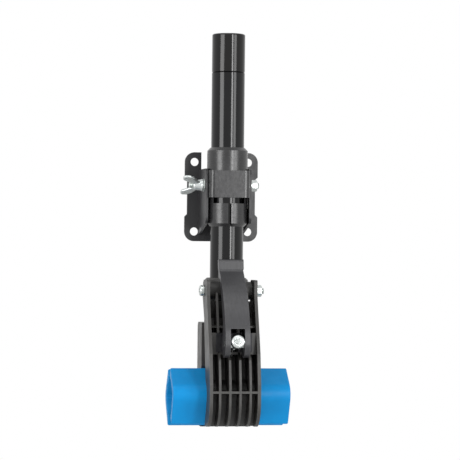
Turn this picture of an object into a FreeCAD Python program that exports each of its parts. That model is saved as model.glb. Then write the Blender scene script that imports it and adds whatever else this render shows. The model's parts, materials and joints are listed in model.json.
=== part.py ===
"""Wall-mounted bicycle repair clamp: plate, swivel collar, sliding arm and cam-lock jaws.

Frame: +X right, +Z up, -Y away from the wall. The origin is the middle of the four
screw holes on the back face of the wall plate. The arm hangs along Z in front of it.
"""
import FreeCAD
import Part
import Sketcher
import math
import os
from types import SimpleNamespace

# ---------------------------------------------------------------- driving sizes, in mm
SIZES = [
    # wall plate
    ("hole_span_x", 53.0, "screw holes, side to side"),
    ("hole_span_z", 68.0, "screw holes, top to bottom"),
    ("wall_hole_radius", 4.0, "screw hole"),
    ("lobe_radius", 9.5, "rounded corner round each screw hole"),
    ("waist_depth", 2.5, "how far the plate's sides are drawn in between the lobes"),
    ("waist_length", 34.0, "drawn-in stretch of each side"),
    ("plate_thick", 3.0, "wall plate sheet"),
    ("ear_thick", 2.2, "forward ears"),
    ("ear_tip", 11.5, "ear ahead of the pivot"),
    ("ear_rise", 16.0, "ear above the pivot"),
    ("ear_drop", 36.0, "ear below the pivot, at its front edge"),
    ("ear_heel", 12.0, "extra drop of the ear where it meets the plate"),
    ("ear_round", 7.0, "rounded front corners of the ears"),
    ("notch_floor", -11.0, "bottom of the open notch between the ears"),
    # arm tube
    ("tube_offset", 43.0, "wall face to the arm's axis"),
    ("tube_radius", 15.9, "arm tube, outside"),
    ("tube_wall", 1.5, "arm tube wall"),
    ("tube_top", 119.0, "upper end of the metal tube"),
    ("tube_gap", 1.0, "end of the tube above the floor of the clamp head's socket"),
    ("cap_length", 37.0, "end cap above the tube"),
    ("cap_spigot", 16.0, "end cap inside the tube"),
    ("cap_round", 1.6, "rounded rim of the end cap"),
    ("seam_bevel", 0.6, "bevels that show as a fine seam under the cap"),
    # swivel collar
    ("pivot_height", 10.4, "tilt pivot above the middle of the plate"),
    ("collar_half", 19.5, "collar, axis to outside"),
    ("collar_top", 46.6, "upper end of the collar"),
    ("collar_bottom", -29.2, "lower end of the collar"),
    ("collar_bevel", 3.0, "bevelled ends of the collar"),
    ("flat_top", 24.4, "top of the flat-sided middle"),
    ("flat_bottom", -1.5, "bottom of the flat-sided middle"),
    ("flat_round", 5.0, "rounded upright corners of the middle"),
    ("cross_slot", 5.5, "height of the level slot under the middle"),
    ("cross_slot_half", 15.0, "half width of the level slot"),
    ("slit_width", 3.0, "upright slit at the front of the collar"),
    # tilt pivot hardware
    ("stud_radius", 3.0, "M6 studs, bolts and draw rod"),
    ("stud_head_radius", 6.5, "thin stud head, held in the collar wall"),
    ("stud_head_thick", 1.7, "thin stud head"),
    ("stud_out_left", 15.0, "stud beyond the left ear"),
    ("stud_out_right", 8.5, "stud beyond the right ear"),
    ("washer_radius", 6.5, "flat washer"),
    ("washer_thick", 1.2, "flat washer"),
    ("small_washer_radius", 5.4, "washers of the jaw pivot"),
    ("nut_flats", 10.0, "hexagon across flats"),
    ("nut_height", 5.5, "hexagon nut"),
    ("nut_turning_ratio", 0.56, "turned outside of a nut, over its width across flats"),
    ("nut_bevel_ratio", 0.12, "bevel of a nut, over its height"),
    ("wing_hub_radius", 6.0, "wing nut hub at its foot"),
    ("wing_hub_tip", 4.6, "wing nut hub at its outer end"),
    ("wing_hub_length", 10.0, "wing nut hub"),
    ("wing_reach", 21.0, "wing tips from the nut's foot"),
    ("wing_spread", 15.5, "wing tips from the nut's axis"),
    ("wing_width", 9.0, "breadth of each wing at its tip"),
    ("wing_root", 3.2, "foot of the wings, from the nut's axis"),
    ("wing_edge", 5.4, "outer edge of each wing"),
    ("wing_round", 2.5, "rounded corners of the wings"),
    ("wing_thick", 2.6, "wing sheet"),
    ("wing_angle", 58.0, "turn of the wings about the pivot, degrees"),
    # clamp head
    ("head_top", -78.4, "upper face of the clamp head"),
    ("socket_radius", 20.8, "socket round the tube, outside"),
    ("socket_length", 51.0, "socket"),
    ("socket_bevel", 2.0, "bevelled rim of the socket"),
    ("wall_floor", 3.0, "socket floor and moulded walls"),
    ("rear_slit", 3.0, "slit at the back of the socket"),
    ("rear_slit_length", 36.0, "slit at the back of the socket"),
    ("lug_half", 9.0, "pinch lugs, half width over both"),
    ("lug_reach", 33.0, "pinch lugs, from the arm's axis"),
    ("lug_top", 12.0, "pinch lugs, below the head's top"),
    ("lug_height", 18.0, "pinch lugs"),
    ("pinch_radius", 2.5, "M5 pinch bolt"),
    ("pinch_flats", 8.0, "pinch nut across flats"),
    ("pinch_nut_height", 4.0, "pinch nut"),
    ("button_head_ratio", 1.75, "button head, over its shank's radius"),
    ("button_length_ratio", 1.15, "button head's length, over its shank's radius"),
    ("button_dome_ratio", 0.6, "rounded rim of a button head, over its shank's radius"),
    ("key_ratio", 0.68, "hexagon socket across flats, over its shank's diameter"),
    ("key_floor_ratio", 0.4, "floor under the hexagon socket, over the head's length"),
    ("pivot_forward", 21.0, "jaw pivot ahead of the arm's axis"),
    ("pivot_below", 12.0, "jaw pivot below the head's top"),
    ("pivot_boss", 8.6, "boss of the clamp head at the jaw pivot"),
    ("rear_front", 7.0, "front face of the rear jaw, ahead of the arm's axis"),
    ("rear_back", 23.0, "back face of the rear jaw, behind the arm's axis"),
    ("rear_shoulder", 43.0, "shoulder of the rear jaw, below the head's top"),
    ("rear_round", 6.0, "rounded shoulder"),
    ("jaw_half", 24.2, "half width of both jaws"),
    # grip and pads
    ("grip_forward", 16.0, "middle of the grip, ahead of the arm's axis"),
    ("grip_under_socket", 63.6, "middle of the grip, below the socket"),
    ("grip_radius", 19.5, "tube gripped at rest"),
    ("jaw_lean_angle", 13.75, "lean of the front jaw and its pad at rest, degrees"),
    ("jaw_drop", 25.0, "lower end of the front jaw, below the grip's middle"),
    ("head_drop", 28.0, "lower end of the head's rear jaw, below the grip's middle"),
    ("pad_length", 112.0, "rubber pads"),
    ("pad_vertex", 35.9, "fold of a pad's outside, from the grip's middle"),
    ("pad_corner", 10.7, "outer ends of a pad, out from the grip's middle"),
    ("pad_half_height", 28.5, "outer ends of a pad, above and below the grip's middle"),
    ("pad_tip_height", 20.0, "inner ends of a pad, above and below the grip's middle"),
    ("pad_thick", 11.2, "pad, measured level"),
    ("pad_round", 13.0, "rounded fold of a pad's outside"),
    ("pad_inner_round", 5.0, "rounded fold of a pad's inside"),
    # front jaw
    ("arm_wall", 3.0, "side walls of the front jaw"),
    ("side_gap", 0.4, "play beside moving flat faces"),
    ("fin_thick", 2.0, "moulded ribs"),
    ("fin_pitch", 9.6, "ribs, centre to centre"),
    ("low_ribs_up", 38.6, "upper end of the lower ribs' front edge, above the grip's middle"),
    ("cross_web_up", 8.6, "level web through the ribs, above the grip's middle"),
    ("jaw_eye", 10.5, "rounded top of the front jaw round its pivot"),
    ("jaw_eye_round", 10.0, "round of the jaw's upper rear corner"),
    ("jaw_neck_round", 8.4, "round of the jaw's rear edge under its pivot"),
    ("nose_forward", 40.5, "front of the jaw's top edge, ahead of the arm's axis"),
    ("nose_drop", 15.0, "upright stretch of the front edge under the top"),
    ("knee_forward", 62.0, "bend of the front edge, ahead of the arm's axis"),
    ("knee_up", 44.6, "bend of the front edge, above the grip's middle"),
    ("belly_forward", 68.0, "foremost line of the front jaw, ahead of the arm's axis"),
    ("jaw_belly_up", 15.6, "upper end of the foremost line, above the grip's middle"),
    ("toe_round", 24.0, "rounded lower front of the jaw"),
    ("waist_forward", 23.0, "rear edge of the front jaw at its waist"),
    ("waist_below", 38.0, "waist of the rear edge, below the head's top"),
    ("sill_up", 12.2, "rear edge of the front jaw where it meets the pad, above the pad's fold"),
    ("ribs_top", 13.6, "upper end of the open ribs, below the head's top"),
    ("ribs_front", 38.0, "upper end of the ribs' front edge, ahead of the arm's axis"),
    ("ribs_back", 33.0, "back of the ribs over the waist, ahead of the arm's axis"),
    ("upper_web_below", 21.6, "upper end of the jaw's web, below the head's top"),
    ("rear_heel", 11.0, "slanted lower corner of the rear jaw"),
    ("rib_setback", 6.0, "level ribs of the front jaw behind its front edge"),
    ("cam_block", 5.0, "cross wall behind the steel plate"),
    ("seat_plate_thick", 1.5, "steel plate under the cam"),
    ("seat_plate_half", 17.0, "steel plate, half width"),
    ("seat_plate_height", 18.0, "steel plate"),
    ("seat_play", 0.5, "cam clear of its plate at rest"),
    # draw rod and cam
    ("anchor_behind", 15.0, "rod anchor behind the arm's axis"),
    ("anchor_up", 36.6, "rod anchor above the grip's middle"),
    ("anchor_radius", 6.0, "rod anchor"),
    ("anchor_half", 15.0, "rod anchor, half length"),
    ("cam_forward", 71.0, "cam pin ahead of the arm's axis"),
    ("cam_up", 54.6, "cam pin above the grip's middle"),
    ("cam_radius", 12.5, "round cam"),
    ("cam_shift", 2.7, "cam's middle behind its pin"),
    ("cam_drop", 1.0, "cam's middle below its pin"),
    ("cam_pin_radius", 5.0, "cam pin, thick middle"),
    ("cam_pin_end", 3.4, "cam pin, ends in the lever"),
    ("rod_slot_half", 3.8, "half width of the slots round the draw rod"),
    ("rod_slot_height", 19.0, "height of the slots round the draw rod"),
    ("rod_slot_rise", 13.0, "slot of the rear jaw above the rod's anchor"),
    ("rod_end", 2.0, "draw rod beyond its nut"),
    ("spring_radius", 6.2, "opening spring, to the middle of its wire"),
    ("spring_wire", 0.7, "spring wire radius"),
    ("spring_turns", 6.0, "turns of the spring"),
    ("spring_cup_radius", 8.5, "front spring washer"),
    ("spring_cup_thick", 1.5, "spring washers"),
    ("cup_gap", 1.9, "front spring washer clear of the jaw, so that it can rock"),
    ("rear_cup_radius", 9.4, "rear spring washer, flat on the rear jaw"),
    ("rear_cup_hole", 4.95, "hole of the rear spring washer, so that the rod can tilt"),
    ("rear_cup_rise", 6.3, "rear spring washer's middle above the rod's anchor"),
    ("spring_lift", 3.9, "end of the spring clear of its rear washer, so that it can rock"),
    # cam lever
    ("lever_half", 11.5, "lever, half width"),
    ("lever_spine", 3.0, "back of the lever"),
    ("lever_cheek", 3.2, "sides of the lever"),
    ("lever_rib", 1.8, "ribs across the hollow of the lever"),
    ("lever_slot_half", 6.7, "half width of the slot round the nut"),
    ("lever_slot_radius", 16.0, "slot round the nut, from the cam pin"),
    ("back_low_out", 8.8, "first bend of the lever's back, ahead of the cam pin"),
    ("back_low_up", 12.0, "first bend of the lever's back, above the cam pin"),
    ("back_mid_out", 0.5, "second bend, ahead of the cam pin"),
    ("back_mid_up", 31.0, "second bend, above the cam pin"),
    ("back_high_in", 14.5, "third bend, behind the cam pin"),
    ("back_high_up", 50.0, "third bend, above the cam pin"),
    ("throat_in", 10.5, "throat over the cam, behind the cam pin"),
    ("throat_up", 20.0, "throat over the cam, above the cam pin"),
    ("belly_in", 25.0, "bend of the lever's inner edge, behind the cam pin"),
    ("belly_up", 47.5, "bend of the lever's inner edge, above the cam pin"),
    ("neck_in", 38.5, "foot of the thumb hook, behind the cam pin"),
    ("neck_up", 67.5, "foot of the thumb hook, above the cam pin"),
    ("hook_lean", 1.5, "lean of the hook towards the arm"),
    ("hook_half", 12.0, "thumb hook, half width"),
    ("hook_up", 78.0, "thumb hook above the cam pin"),
    ("hook_thick", 5.5, "thumb hook"),
    ("hook_round", 2.2, "rounded edges of the thumb hook"),
    ("hook_face", 9.6, "height of the thumb hook's wide part"),
    ("hollow_end", 4.8, "end of the lever's hollow under the thumb hook"),
    ("back_low_round", 37.5, "round of the first bend of the lever's back"),
    ("back_high_round", 62.5, "round of the upper bends of the lever's back"),
    ("belly_round", 50.0, "round of the bend of the lever's inner edge"),
    ("throat_round", 10.0, "round of the throat over the cam"),
    ("adjuster_radius", 6.4, "round adjuster nut"),
    ("adjuster_length", 6.5, "round adjuster nut"),
    ("adjuster_dome", 2.5, "rounded rim of the adjuster nut"),
    # fits
    ("run_fit", 0.1, "radial play of running fits"),
    ("flat_play", 0.05, "play between moving flat faces and washers"),
]


class Measure:
    """A number with the spreadsheet expression that it comes from."""

    def __init__(self, value, text):
        self.value = float(value)
        self.text = text

    def _join(self, other, sign, value, swap=False):
        other_text = other.text if isinstance(other, Measure) else repr(float(other))
        first, second = (other_text, self.text) if swap else (self.text, other_text)
        return Measure(value, f"({first} {sign} {second})")

    def __add__(self, other):
        return self._join(other, "+", self.value + number(other))

    def __radd__(self, other):
        return self._join(other, "+", number(other) + self.value, swap=True)

    def __sub__(self, other):
        return self._join(other, "-", self.value - number(other))

    def __rsub__(self, other):
        return self._join(other, "-", number(other) - self.value, swap=True)

    def __mul__(self, other):
        return self._join(other, "*", self.value * number(other))

    def __rmul__(self, other):
        return self._join(other, "*", number(other) * self.value, swap=True)

    def __truediv__(self, other):
        return self._join(other, "/", self.value / number(other))

    def __neg__(self):
        return Measure(-self.value, f"(0 - {self.text})")


def number(value):
    """Plain float of a Measure or a number."""
    return value.value if isinstance(value, Measure) else float(value)


def text(value):
    """Expression of a Measure or a number."""
    return value.text if isinstance(value, Measure) else repr(float(value))


def sine(degrees):
    return Measure(math.sin(math.radians(number(degrees))), f"sin({text(degrees)} * 1deg)")


def cosine(degrees):
    return Measure(math.cos(math.radians(number(degrees))), f"cos({text(degrees)} * 1deg)")


def slope(rise, run):
    """Angle in degrees whose tangent is rise / run."""
    degrees = math.degrees(math.atan2(number(rise), number(run)))
    return Measure(degrees, f"(atan({text(rise)} / {text(run)}) / 1deg)")


# ---------------------------------------------------------------- document and sheet
doc = FreeCAD.newDocument("RepairClamp")
sheet = doc.addObject("Spreadsheet::Sheet", "Sizes")
for row, (alias, value, note) in enumerate(SIZES, start=1):
    sheet.set(f"A{row}", alias)
    sheet.set(f"B{row}", str(value))
    sheet.set(f"C{row}", note)
    sheet.setAlias(f"B{row}", alias)
doc.recompute()
s = SimpleNamespace(**{alias: Measure(sheet.get(alias), f"Sizes.{alias}") for alias, _, _ in SIZES})

nodes = {}


def node(name, shape_object):
    """Register a finished sub-part under the name that its file gets."""
    shape_object.Label = name
    nodes[name] = shape_object
    return shape_object


# ---------------------------------------------------------------- small modelling helpers
def bind(thing, **properties):
    """Bind properties of an object to measures."""
    for name, value in properties.items():
        thing.setExpression(name, text(value))
    return thing


def place(thing, x=0, y=0, z=0):
    """Bind the position of an object."""
    for axis, value in (("x", x), ("y", y), ("z", z)):
        thing.setExpression(f"Placement.Base.{axis}", text(value))
    return thing


def box(name, x0, x1, y0, y1, z0, z1):
    """Box between two corners."""
    made = doc.addObject("Part::Box", name)
    bind(made, Length=x1 - x0, Width=y1 - y0, Height=z1 - z0)
    return place(made, x0, y0, z0)


ALONG = {
    "X": FreeCAD.Rotation(FreeCAD.Vector(0, 1, 0), 90),
    "Y": FreeCAD.Rotation(FreeCAD.Vector(1, 0, 0), -90),
    "Z": FreeCAD.Rotation(),
}


def lay(thing, axis, u, v, start):
    """Put a body of revolution along an axis; u and v are its other two coordinates in order."""
    thing.Placement = FreeCAD.Placement(FreeCAD.Vector(), ALONG[axis])
    x, y, z = {"X": (start, u, v), "Y": (u, start, v), "Z": (u, v, start)}[axis]
    return place(thing, x, y, z)


def rod(name, axis, u, v, start, end, radius):
    """Cylinder along an axis from start to end."""
    made = doc.addObject("Part::Cylinder", name)
    bind(made, Radius=radius, Height=end - start)
    return lay(made, axis, u, v, start)


def cone(name, axis, u, v, start, end, radius_start, radius_end):
    """Cone along an axis from start to end."""
    made = doc.addObject("Part::Cone", name)
    bind(made, Radius1=radius_start, Radius2=radius_end, Height=end - start)
    return lay(made, axis, u, v, start)


def hexagon(name, axis, u, v, start, end, flats):
    """Hexagonal prism along an axis, sized across its flats."""
    made = doc.addObject("Part::Prism", name)
    made.Polygon = 6
    bind(made, Circumradius=flats / math.sqrt(3.0), Height=end - start)
    return lay(made, axis, u, v, start)


def cut(name, base, tool):
    made = doc.addObject("Part::Cut", name)
    made.Base = base
    made.Tool = tool
    return made


def fuse(name, *pieces):
    made = doc.addObject("Part::MultiFuse", name)
    made.Shapes = list(pieces)
    made.Refine = True
    return made


def common(name, first, second):
    made = doc.addObject("Part::Common", name)
    made.Base = first
    made.Tool = second
    return made


def group(name, *pieces):
    """Separate solids kept in one sub-part."""
    made = doc.addObject("Part::Compound", name)
    made.Links = list(pieces)
    return made


def mirrored(name, source):
    """The same piece on the other side of the plane X = 0."""
    made = doc.addObject("Part::Mirroring", name)
    made.Source = source
    made.Normal = FreeCAD.Vector(1, 0, 0)
    return made


def chamfer(name, base, size, wanted):
    """Bevel the edges of a shape that the wanted() rule picks."""
    doc.recompute()
    made = doc.addObject("Part::Chamfer", name)
    made.Base = base
    width = number(size)
    made.Edges = [(i, width, width) for i, edge in enumerate(base.Shape.Edges, 1) if wanted(edge)]
    return made


def fillet(name, base, size, wanted):
    """Round the edges of a shape that the wanted() rule picks."""
    doc.recompute()
    made = doc.addObject("Part::Fillet", name)
    made.Base = base
    radius = number(size)
    made.Edges = [(i, radius, radius) for i, edge in enumerate(base.Shape.Edges, 1) if wanted(edge)]
    return made


def circle_at(axis, level, radius, tolerance=0.01):
    """Rule for round edges of one radius at one level along an axis."""
    index = "XYZ".index(axis)

    def wanted(edge):
        if not isinstance(edge.Curve, Part.Circle):
            return False
        at_level = abs(edge.Curve.Center[index] - number(level)) < tolerance
        return at_level and abs(edge.Curve.Radius - number(radius)) < tolerance

    return wanted


PLANES = {"X": "YZ_Plane", "Y": "XZ_Plane", "Z": "XY_Plane"}


def prism(name, axis, points, start, end, rounds=()):
    """Body with one sketched outline, padded along an axis from start to end.

    points are (u, v) pairs in the plane across the axis: (Y, Z), (X, Z) or (X, Y).
    rounds are (radius, point numbers) pairs, for the corners that are rounded.
    """
    body = doc.addObject("PartDesign::Body", name)
    sketch = body.newObject("Sketcher::SketchObject", f"{name}_outline")
    plane = [part for part in body.Origin.OriginFeatures if part.Role == PLANES[axis]][0]
    sketch.AttachmentSupport = [(plane, "")]
    sketch.MapMode = "FlatFace"
    level = -end if axis == "Y" else start
    sketch.setExpression("AttachmentOffset.Base.z", text(level))
    flat = [FreeCAD.Vector(number(u), number(v), 0) for u, v in points]
    for i, corner in enumerate(flat):
        sketch.addGeometry(Part.LineSegment(corner, flat[(i + 1) % len(flat)]))
    for i in range(len(flat)):
        sketch.addConstraint(Sketcher.Constraint("Coincident", i, 2, (i + 1) % len(flat), 1))
    for i, (u, v) in enumerate(points):
        for kind, value in (("DistanceX", u), ("DistanceY", v)):
            index = sketch.addConstraint(Sketcher.Constraint(kind, -1, 1, i, 1, number(value)))
            sketch.setExpression(f"Constraints[{index}]", text(value))
    pad = body.newObject("PartDesign::Pad", f"{name}_pad")
    pad.Profile = sketch
    pad.setExpression("Length", text(end - start))
    doc.recompute()
    feature = pad
    for count, (radius, corners) in enumerate(rounds):
        picked = []
        for i, edge in enumerate(feature.Shape.Edges, 1):
            if upright_at(edge, axis, [flat[corner] for corner in corners]):
                picked.append(f"Edge{i}")
        rounded = body.newObject("PartDesign::Fillet", f"{name}_round{count}")
        rounded.Base = (feature, picked)
        rounded.setExpression("Radius", text(radius))
        doc.recompute()
        feature = rounded
    body.Tip = feature
    return body


def upright_at(edge, axis, corners, tolerance=0.01):
    """True for a straight edge along the axis that stands on one of the corners."""
    index = "XYZ".index(axis)
    first, last = edge.Vertexes[0].Point, edge.Vertexes[-1].Point
    flat_first = [first[i] for i in range(3) if i != index]
    flat_last = [last[i] for i in range(3) if i != index]
    if math.dist(flat_first, flat_last) > tolerance:
        return False
    return any(math.dist(flat_first, (corner.x, corner.y)) < tolerance for corner in corners)


def side(sign, near, far):
    """Start and end along X of a piece on one side of the middle plane."""
    return (near, far) if sign > 0 else (-far, -near)


# ---------------------------------------------------------------- shared places
axis_y = -s.tube_offset
bore_radius = s.tube_radius + s.run_fit
turning_bore = s.stud_radius + s.run_fit
fixed_hole = s.stud_radius + s.flat_play
ear_inner = s.collar_half + s.side_gap
ear_outer = ear_inner + s.ear_thick
outer_x = s.hole_span_x / 2 + s.lobe_radius
outer_z = s.hole_span_z / 2 + s.lobe_radius


def ahead(distance):
    """Y of a point this far in front of the arm's axis."""
    return axis_y - distance


def below(distance):
    """Z of a point this far under the clamp head's top."""
    return s.head_top - distance


# ---------------------------------------------------------------- wall plate
def wall_plate():
    """Pressed plate with four lobes, an open notch and two welded ears for the tilt pivot."""
    waist_x = outer_x - s.waist_depth
    waist_z = s.waist_length / 2
    right = [
        (outer_x, -outer_z),
        (outer_x, -waist_z - s.waist_depth),
        (waist_x, -waist_z),
        (waist_x, waist_z),
        (outer_x, waist_z + s.waist_depth),
        (outer_x, outer_z),
        (ear_inner, outer_z),
        (ear_inner, s.notch_floor),
    ]
    left = [(-x, z) for x, z in reversed(right)]
    lobes = (s.lobe_radius, [0, 5, 10, 15])
    sheet_body = prism("plate_sheet", "Y", right + left, -s.plate_thick, 0, [lobes])
    tip = ahead(s.ear_tip)
    ear_outline = [
        (0, s.pivot_height + s.ear_rise),
        (tip, s.pivot_height + s.ear_rise),
        (tip, s.pivot_height - s.ear_drop),
        (0, s.pivot_height - s.ear_drop - s.ear_heel),
    ]
    corners = (s.ear_round, [1, 2])
    ear = prism("ear_right", "X", ear_outline, ear_inner, ear_outer, [corners])
    ears = fuse("plate_and_ears", sheet_body, ear, mirrored("ear_left", ear))
    drills = [rod("pivot_drill", "X", axis_y, s.pivot_height, -outer_x, outer_x, turning_bore)]
    for x in (-s.hole_span_x / 2, s.hole_span_x / 2):
        for z in (-s.hole_span_z / 2, s.hole_span_z / 2):
            drills.append(rod("wall_drill", "Y", x, z, -2 * s.plate_thick, s.plate_thick,
                              s.wall_hole_radius))
    return cut("wall_plate_drilled", ears, fuse("plate_drills", *drills))


node("wall_plate", wall_plate())


# ---------------------------------------------------------------- swivel collar
stud_inner = s.tube_radius + s.side_gap
stud_shoulder = stud_inner + s.stud_head_thick


def swivel_collar():
    """Slit nylon collar: round ends, a flat-sided middle, and pockets for the stud heads."""
    sleeve = rod("collar_sleeve", "Z", 0, axis_y, s.collar_bottom, s.collar_top, s.collar_half)
    ends = [circle_at("Z", level, s.collar_half) for level in (s.collar_bottom, s.collar_top)]
    bevelled = chamfer("collar_bevelled", sleeve, s.collar_bevel, lambda e: ends[0](e) or ends[1](e))
    half = s.collar_half
    square = [(-half, axis_y - half), (half, axis_y - half), (half, axis_y + half), (-half, axis_y + half)]
    middle = prism("collar_middle", "Z", square, s.flat_bottom, s.flat_top, [(s.flat_round, [0, 1, 2, 3])])
    slot_bottom = s.flat_bottom - s.cross_slot
    front = axis_y - 2 * half
    tools = [
        rod("collar_bore", "Z", 0, axis_y, 2 * s.collar_bottom, 2 * s.collar_top, bore_radius),
        box("collar_cross_slot", -s.cross_slot_half, s.cross_slot_half, front,
            axis_y - s.cross_slot, slot_bottom, s.flat_bottom),
        box("collar_slit", -s.slit_width / 2, s.slit_width / 2, front, axis_y,
            2 * s.collar_bottom, slot_bottom + s.cross_slot / 2),
        rod("stud_head_pockets", "X", axis_y, s.pivot_height, -stud_shoulder, stud_shoulder,
            s.stud_head_radius + s.flat_play),
        rod("stud_holes", "X", axis_y, s.pivot_height, -2 * half, 2 * half, fixed_hole),
    ]
    return cut("collar_cut", fuse("collar_block", bevelled, middle), fuse("collar_tools", *tools))


def pivot_stud(name, sign, reach):
    """Thin-headed stud that passes out through the collar wall and one ear."""
    head = rod(f"{name}_head", "X", axis_y, s.pivot_height,
               *side(sign, stud_inner, stud_shoulder), s.stud_head_radius)
    shank = rod(f"{name}_shank", "X", axis_y, s.pivot_height,
                *side(sign, stud_inner, ear_outer + reach), s.stud_radius)
    return fuse(f"{name}_stud", head, shank)


def washer(name, sign, y, z, start, radius=s.washer_radius, hole=turning_bore):
    """Flat washer across X, with its inner face at the distance start."""
    faces = side(sign, start, start + s.washer_thick)
    disc = rod(f"{name}_disc", "X", y, z, *faces, radius)
    return cut(name, disc, rod(f"{name}_hole", "X", y, z, *faces, hole))


def hexagon_nut(name, sign, y, z, start, flats, height, hole):
    """Plain hexagon nut with rounded-off corners, on an axis along X."""
    faces = side(sign, start, start + height)
    blank = hexagon(f"{name}_blank", "X", y, z, *faces, flats)
    turning = flats * s.nut_turning_ratio
    dome = rod(f"{name}_turning", "X", y, z, *faces, turning)
    outer_face = faces[1] if sign > 0 else faces[0]
    outer_edge = circle_at("X", outer_face, turning)
    turned = chamfer(f"{name}_turned", dome, height * s.nut_bevel_ratio, outer_edge)
    solid = common(f"{name}_solid", blank, turned)
    return cut(f"{name}_nut", solid, rod(f"{name}_thread", "X", y, z, *faces, hole))


nut_seat = ear_outer + s.flat_play + s.washer_thick
node("swivel_collar", swivel_collar())
node("pivot_stud_left", pivot_stud("left_stud", -1, s.stud_out_left))
node("pivot_stud_right", pivot_stud("right_stud", 1, s.stud_out_right))
node("pivot_washers", group(
    "pivot_washer_pair",
    washer("pivot_washer_left", -1, axis_y, s.pivot_height, ear_outer + s.flat_play),
    washer("pivot_washer_right", 1, axis_y, s.pivot_height, ear_outer + s.flat_play)))
node("pivot_lock_nut", hexagon_nut("pivot_lock", 1, axis_y, s.pivot_height, nut_seat,
                                   s.nut_flats, s.nut_height, fixed_hole))


# ---------------------------------------------------------------- wing nut
def wing_nut():
    """Cast wing nut on the left stud: tapered hub and two wings that rise outward."""
    foot = nut_seat + s.flat_play
    hub = cone("wing_hub", "X", 0, 0, -foot - s.wing_hub_length, -foot,
               s.wing_hub_tip, s.wing_hub_radius)
    outline = [
        (-foot - s.wing_thick, s.wing_root),
        (-foot - s.wing_reach + s.wing_width, s.wing_spread),
        (-foot - s.wing_reach, s.wing_spread),
        (-foot - s.wing_reach, s.wing_spread - s.wing_edge),
        (-foot - s.wing_hub_length + s.wing_thick / 2, s.wing_root),
    ]
    rounds = [(s.wing_round, [1, 2, 3])]
    wing = prism("wing_blade", "Y", outline, -s.wing_thick / 2, s.wing_thick / 2, rounds)
    other = doc.addObject("Part::Mirroring", "wing_blade_lower")
    other.Source = wing
    other.Normal = FreeCAD.Vector(0, 0, 1)
    solid = fuse("wing_nut_solid", hub, wing, other)
    threaded = cut("wing_nut_threaded", solid,
                   rod("wing_thread", "X", 0, 0, -foot - s.wing_hub_length, -foot, turning_bore))
    threaded.Placement.Rotation = FreeCAD.Rotation(FreeCAD.Vector(1, 0, 0), 1)
    threaded.setExpression("Placement.Rotation.Angle", text(s.wing_angle))
    return place(threaded, 0, axis_y, s.pivot_height)


node("wing_nut", wing_nut())


# ---------------------------------------------------------------- arm tube and its cap
def arm_tube():
    """Drawn steel tube, bevelled at its upper end."""
    ends = (below(s.socket_length - s.wall_floor) + s.tube_gap, s.tube_top)
    blank = rod("tube_blank", "Z", 0, axis_y, *ends, s.tube_radius)
    bevelled = chamfer("tube_bevelled", blank, s.seam_bevel, circle_at("Z", s.tube_top, s.tube_radius))
    inside = rod("tube_inside", "Z", 0, axis_y, *ends, s.tube_radius - s.tube_wall)
    return cut("tube_drawn", bevelled, inside)


def arm_cap():
    """Closed end cap, flush with the tube, on a spigot inside it."""
    crown_top = s.tube_top + s.cap_length
    crown = rod("cap_crown", "Z", 0, axis_y, s.tube_top, crown_top, s.tube_radius)
    rimmed = fillet("cap_rimmed", crown, s.cap_round, circle_at("Z", crown_top, s.tube_radius))
    seamed = chamfer("cap_seamed", rimmed, s.seam_bevel, circle_at("Z", s.tube_top, s.tube_radius))
    spigot = rod("cap_spigot_solid", "Z", 0, axis_y, s.tube_top - s.cap_spigot,
                 s.tube_top + s.seam_bevel, s.tube_radius - s.tube_wall)
    core = rod("cap_core", "Z", 0, axis_y, s.tube_top - s.cap_spigot, crown_top - s.wall_floor,
               s.tube_radius - s.tube_wall - s.wall_floor)
    return cut("cap_hollow", fuse("cap_solid", seamed, spigot), core)


node("arm_tube", arm_tube())
node("arm_cap", arm_cap())


# ---------------------------------------------------------------- clamp head and rear jaw
pivot_y = ahead(s.pivot_forward)
pivot_z = below(s.pivot_below)
grip_y = ahead(s.grip_forward)
grip_z = below(s.socket_length + s.grip_under_socket)


def above_grip(distance):
    """Z of a point this far over the grip's middle."""
    return grip_z + distance


anchor_y = axis_y + s.anchor_behind
anchor_z = above_grip(s.anchor_up)
cam_y = ahead(s.cam_forward)
cam_z = above_grip(s.cam_up)
inner_half = s.jaw_half - s.arm_wall
head_half = inner_half - s.side_gap
jaw_floor = grip_z - s.jaw_drop
head_floor = grip_z - s.head_drop
facet_run = (s.pad_vertex - s.pad_corner) / s.pad_half_height
facet_angle = slope(s.pad_half_height, s.pad_vertex - s.pad_corner)
pad_back = grip_y + s.pad_vertex - (s.pad_round / sine(facet_angle) - s.pad_round)
lug_y = axis_y + (s.socket_radius + s.lug_reach) / 2
lug_z = below(s.lug_top + s.lug_height / 2)


def on_pad(sign, out, up):
    """Point of the rear (1) or front (-1) pad, out from the grip's middle and up its own height."""
    if sign > 0:
        return (grip_y + out, grip_z + up)
    sin_lean, cos_lean = sine(s.jaw_lean_angle), cosine(s.jaw_lean_angle)
    return (grip_y - out * cos_lean + up * sin_lean, grip_z + out * sin_lean + up * cos_lean)


def facet_point(sign, above, wall=0):
    """Point of a pad's upper facet, or of a surface that lies outside it, measured level."""
    return on_pad(sign, s.pad_vertex + wall - above * facet_run, above)


def floor_point(sign, wall=0):
    """Point where the lower facet, or a surface outside it, reaches the lower end of its jaw."""
    lean, drop = (s.jaw_lean_angle, s.jaw_drop) if sign < 0 else (0, s.head_drop)
    vertex = s.pad_vertex + wall
    down = (drop + vertex * sine(lean)) / (cosine(lean) + facet_run * sine(lean))
    return on_pad(sign, vertex - down * facet_run, -down)


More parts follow.
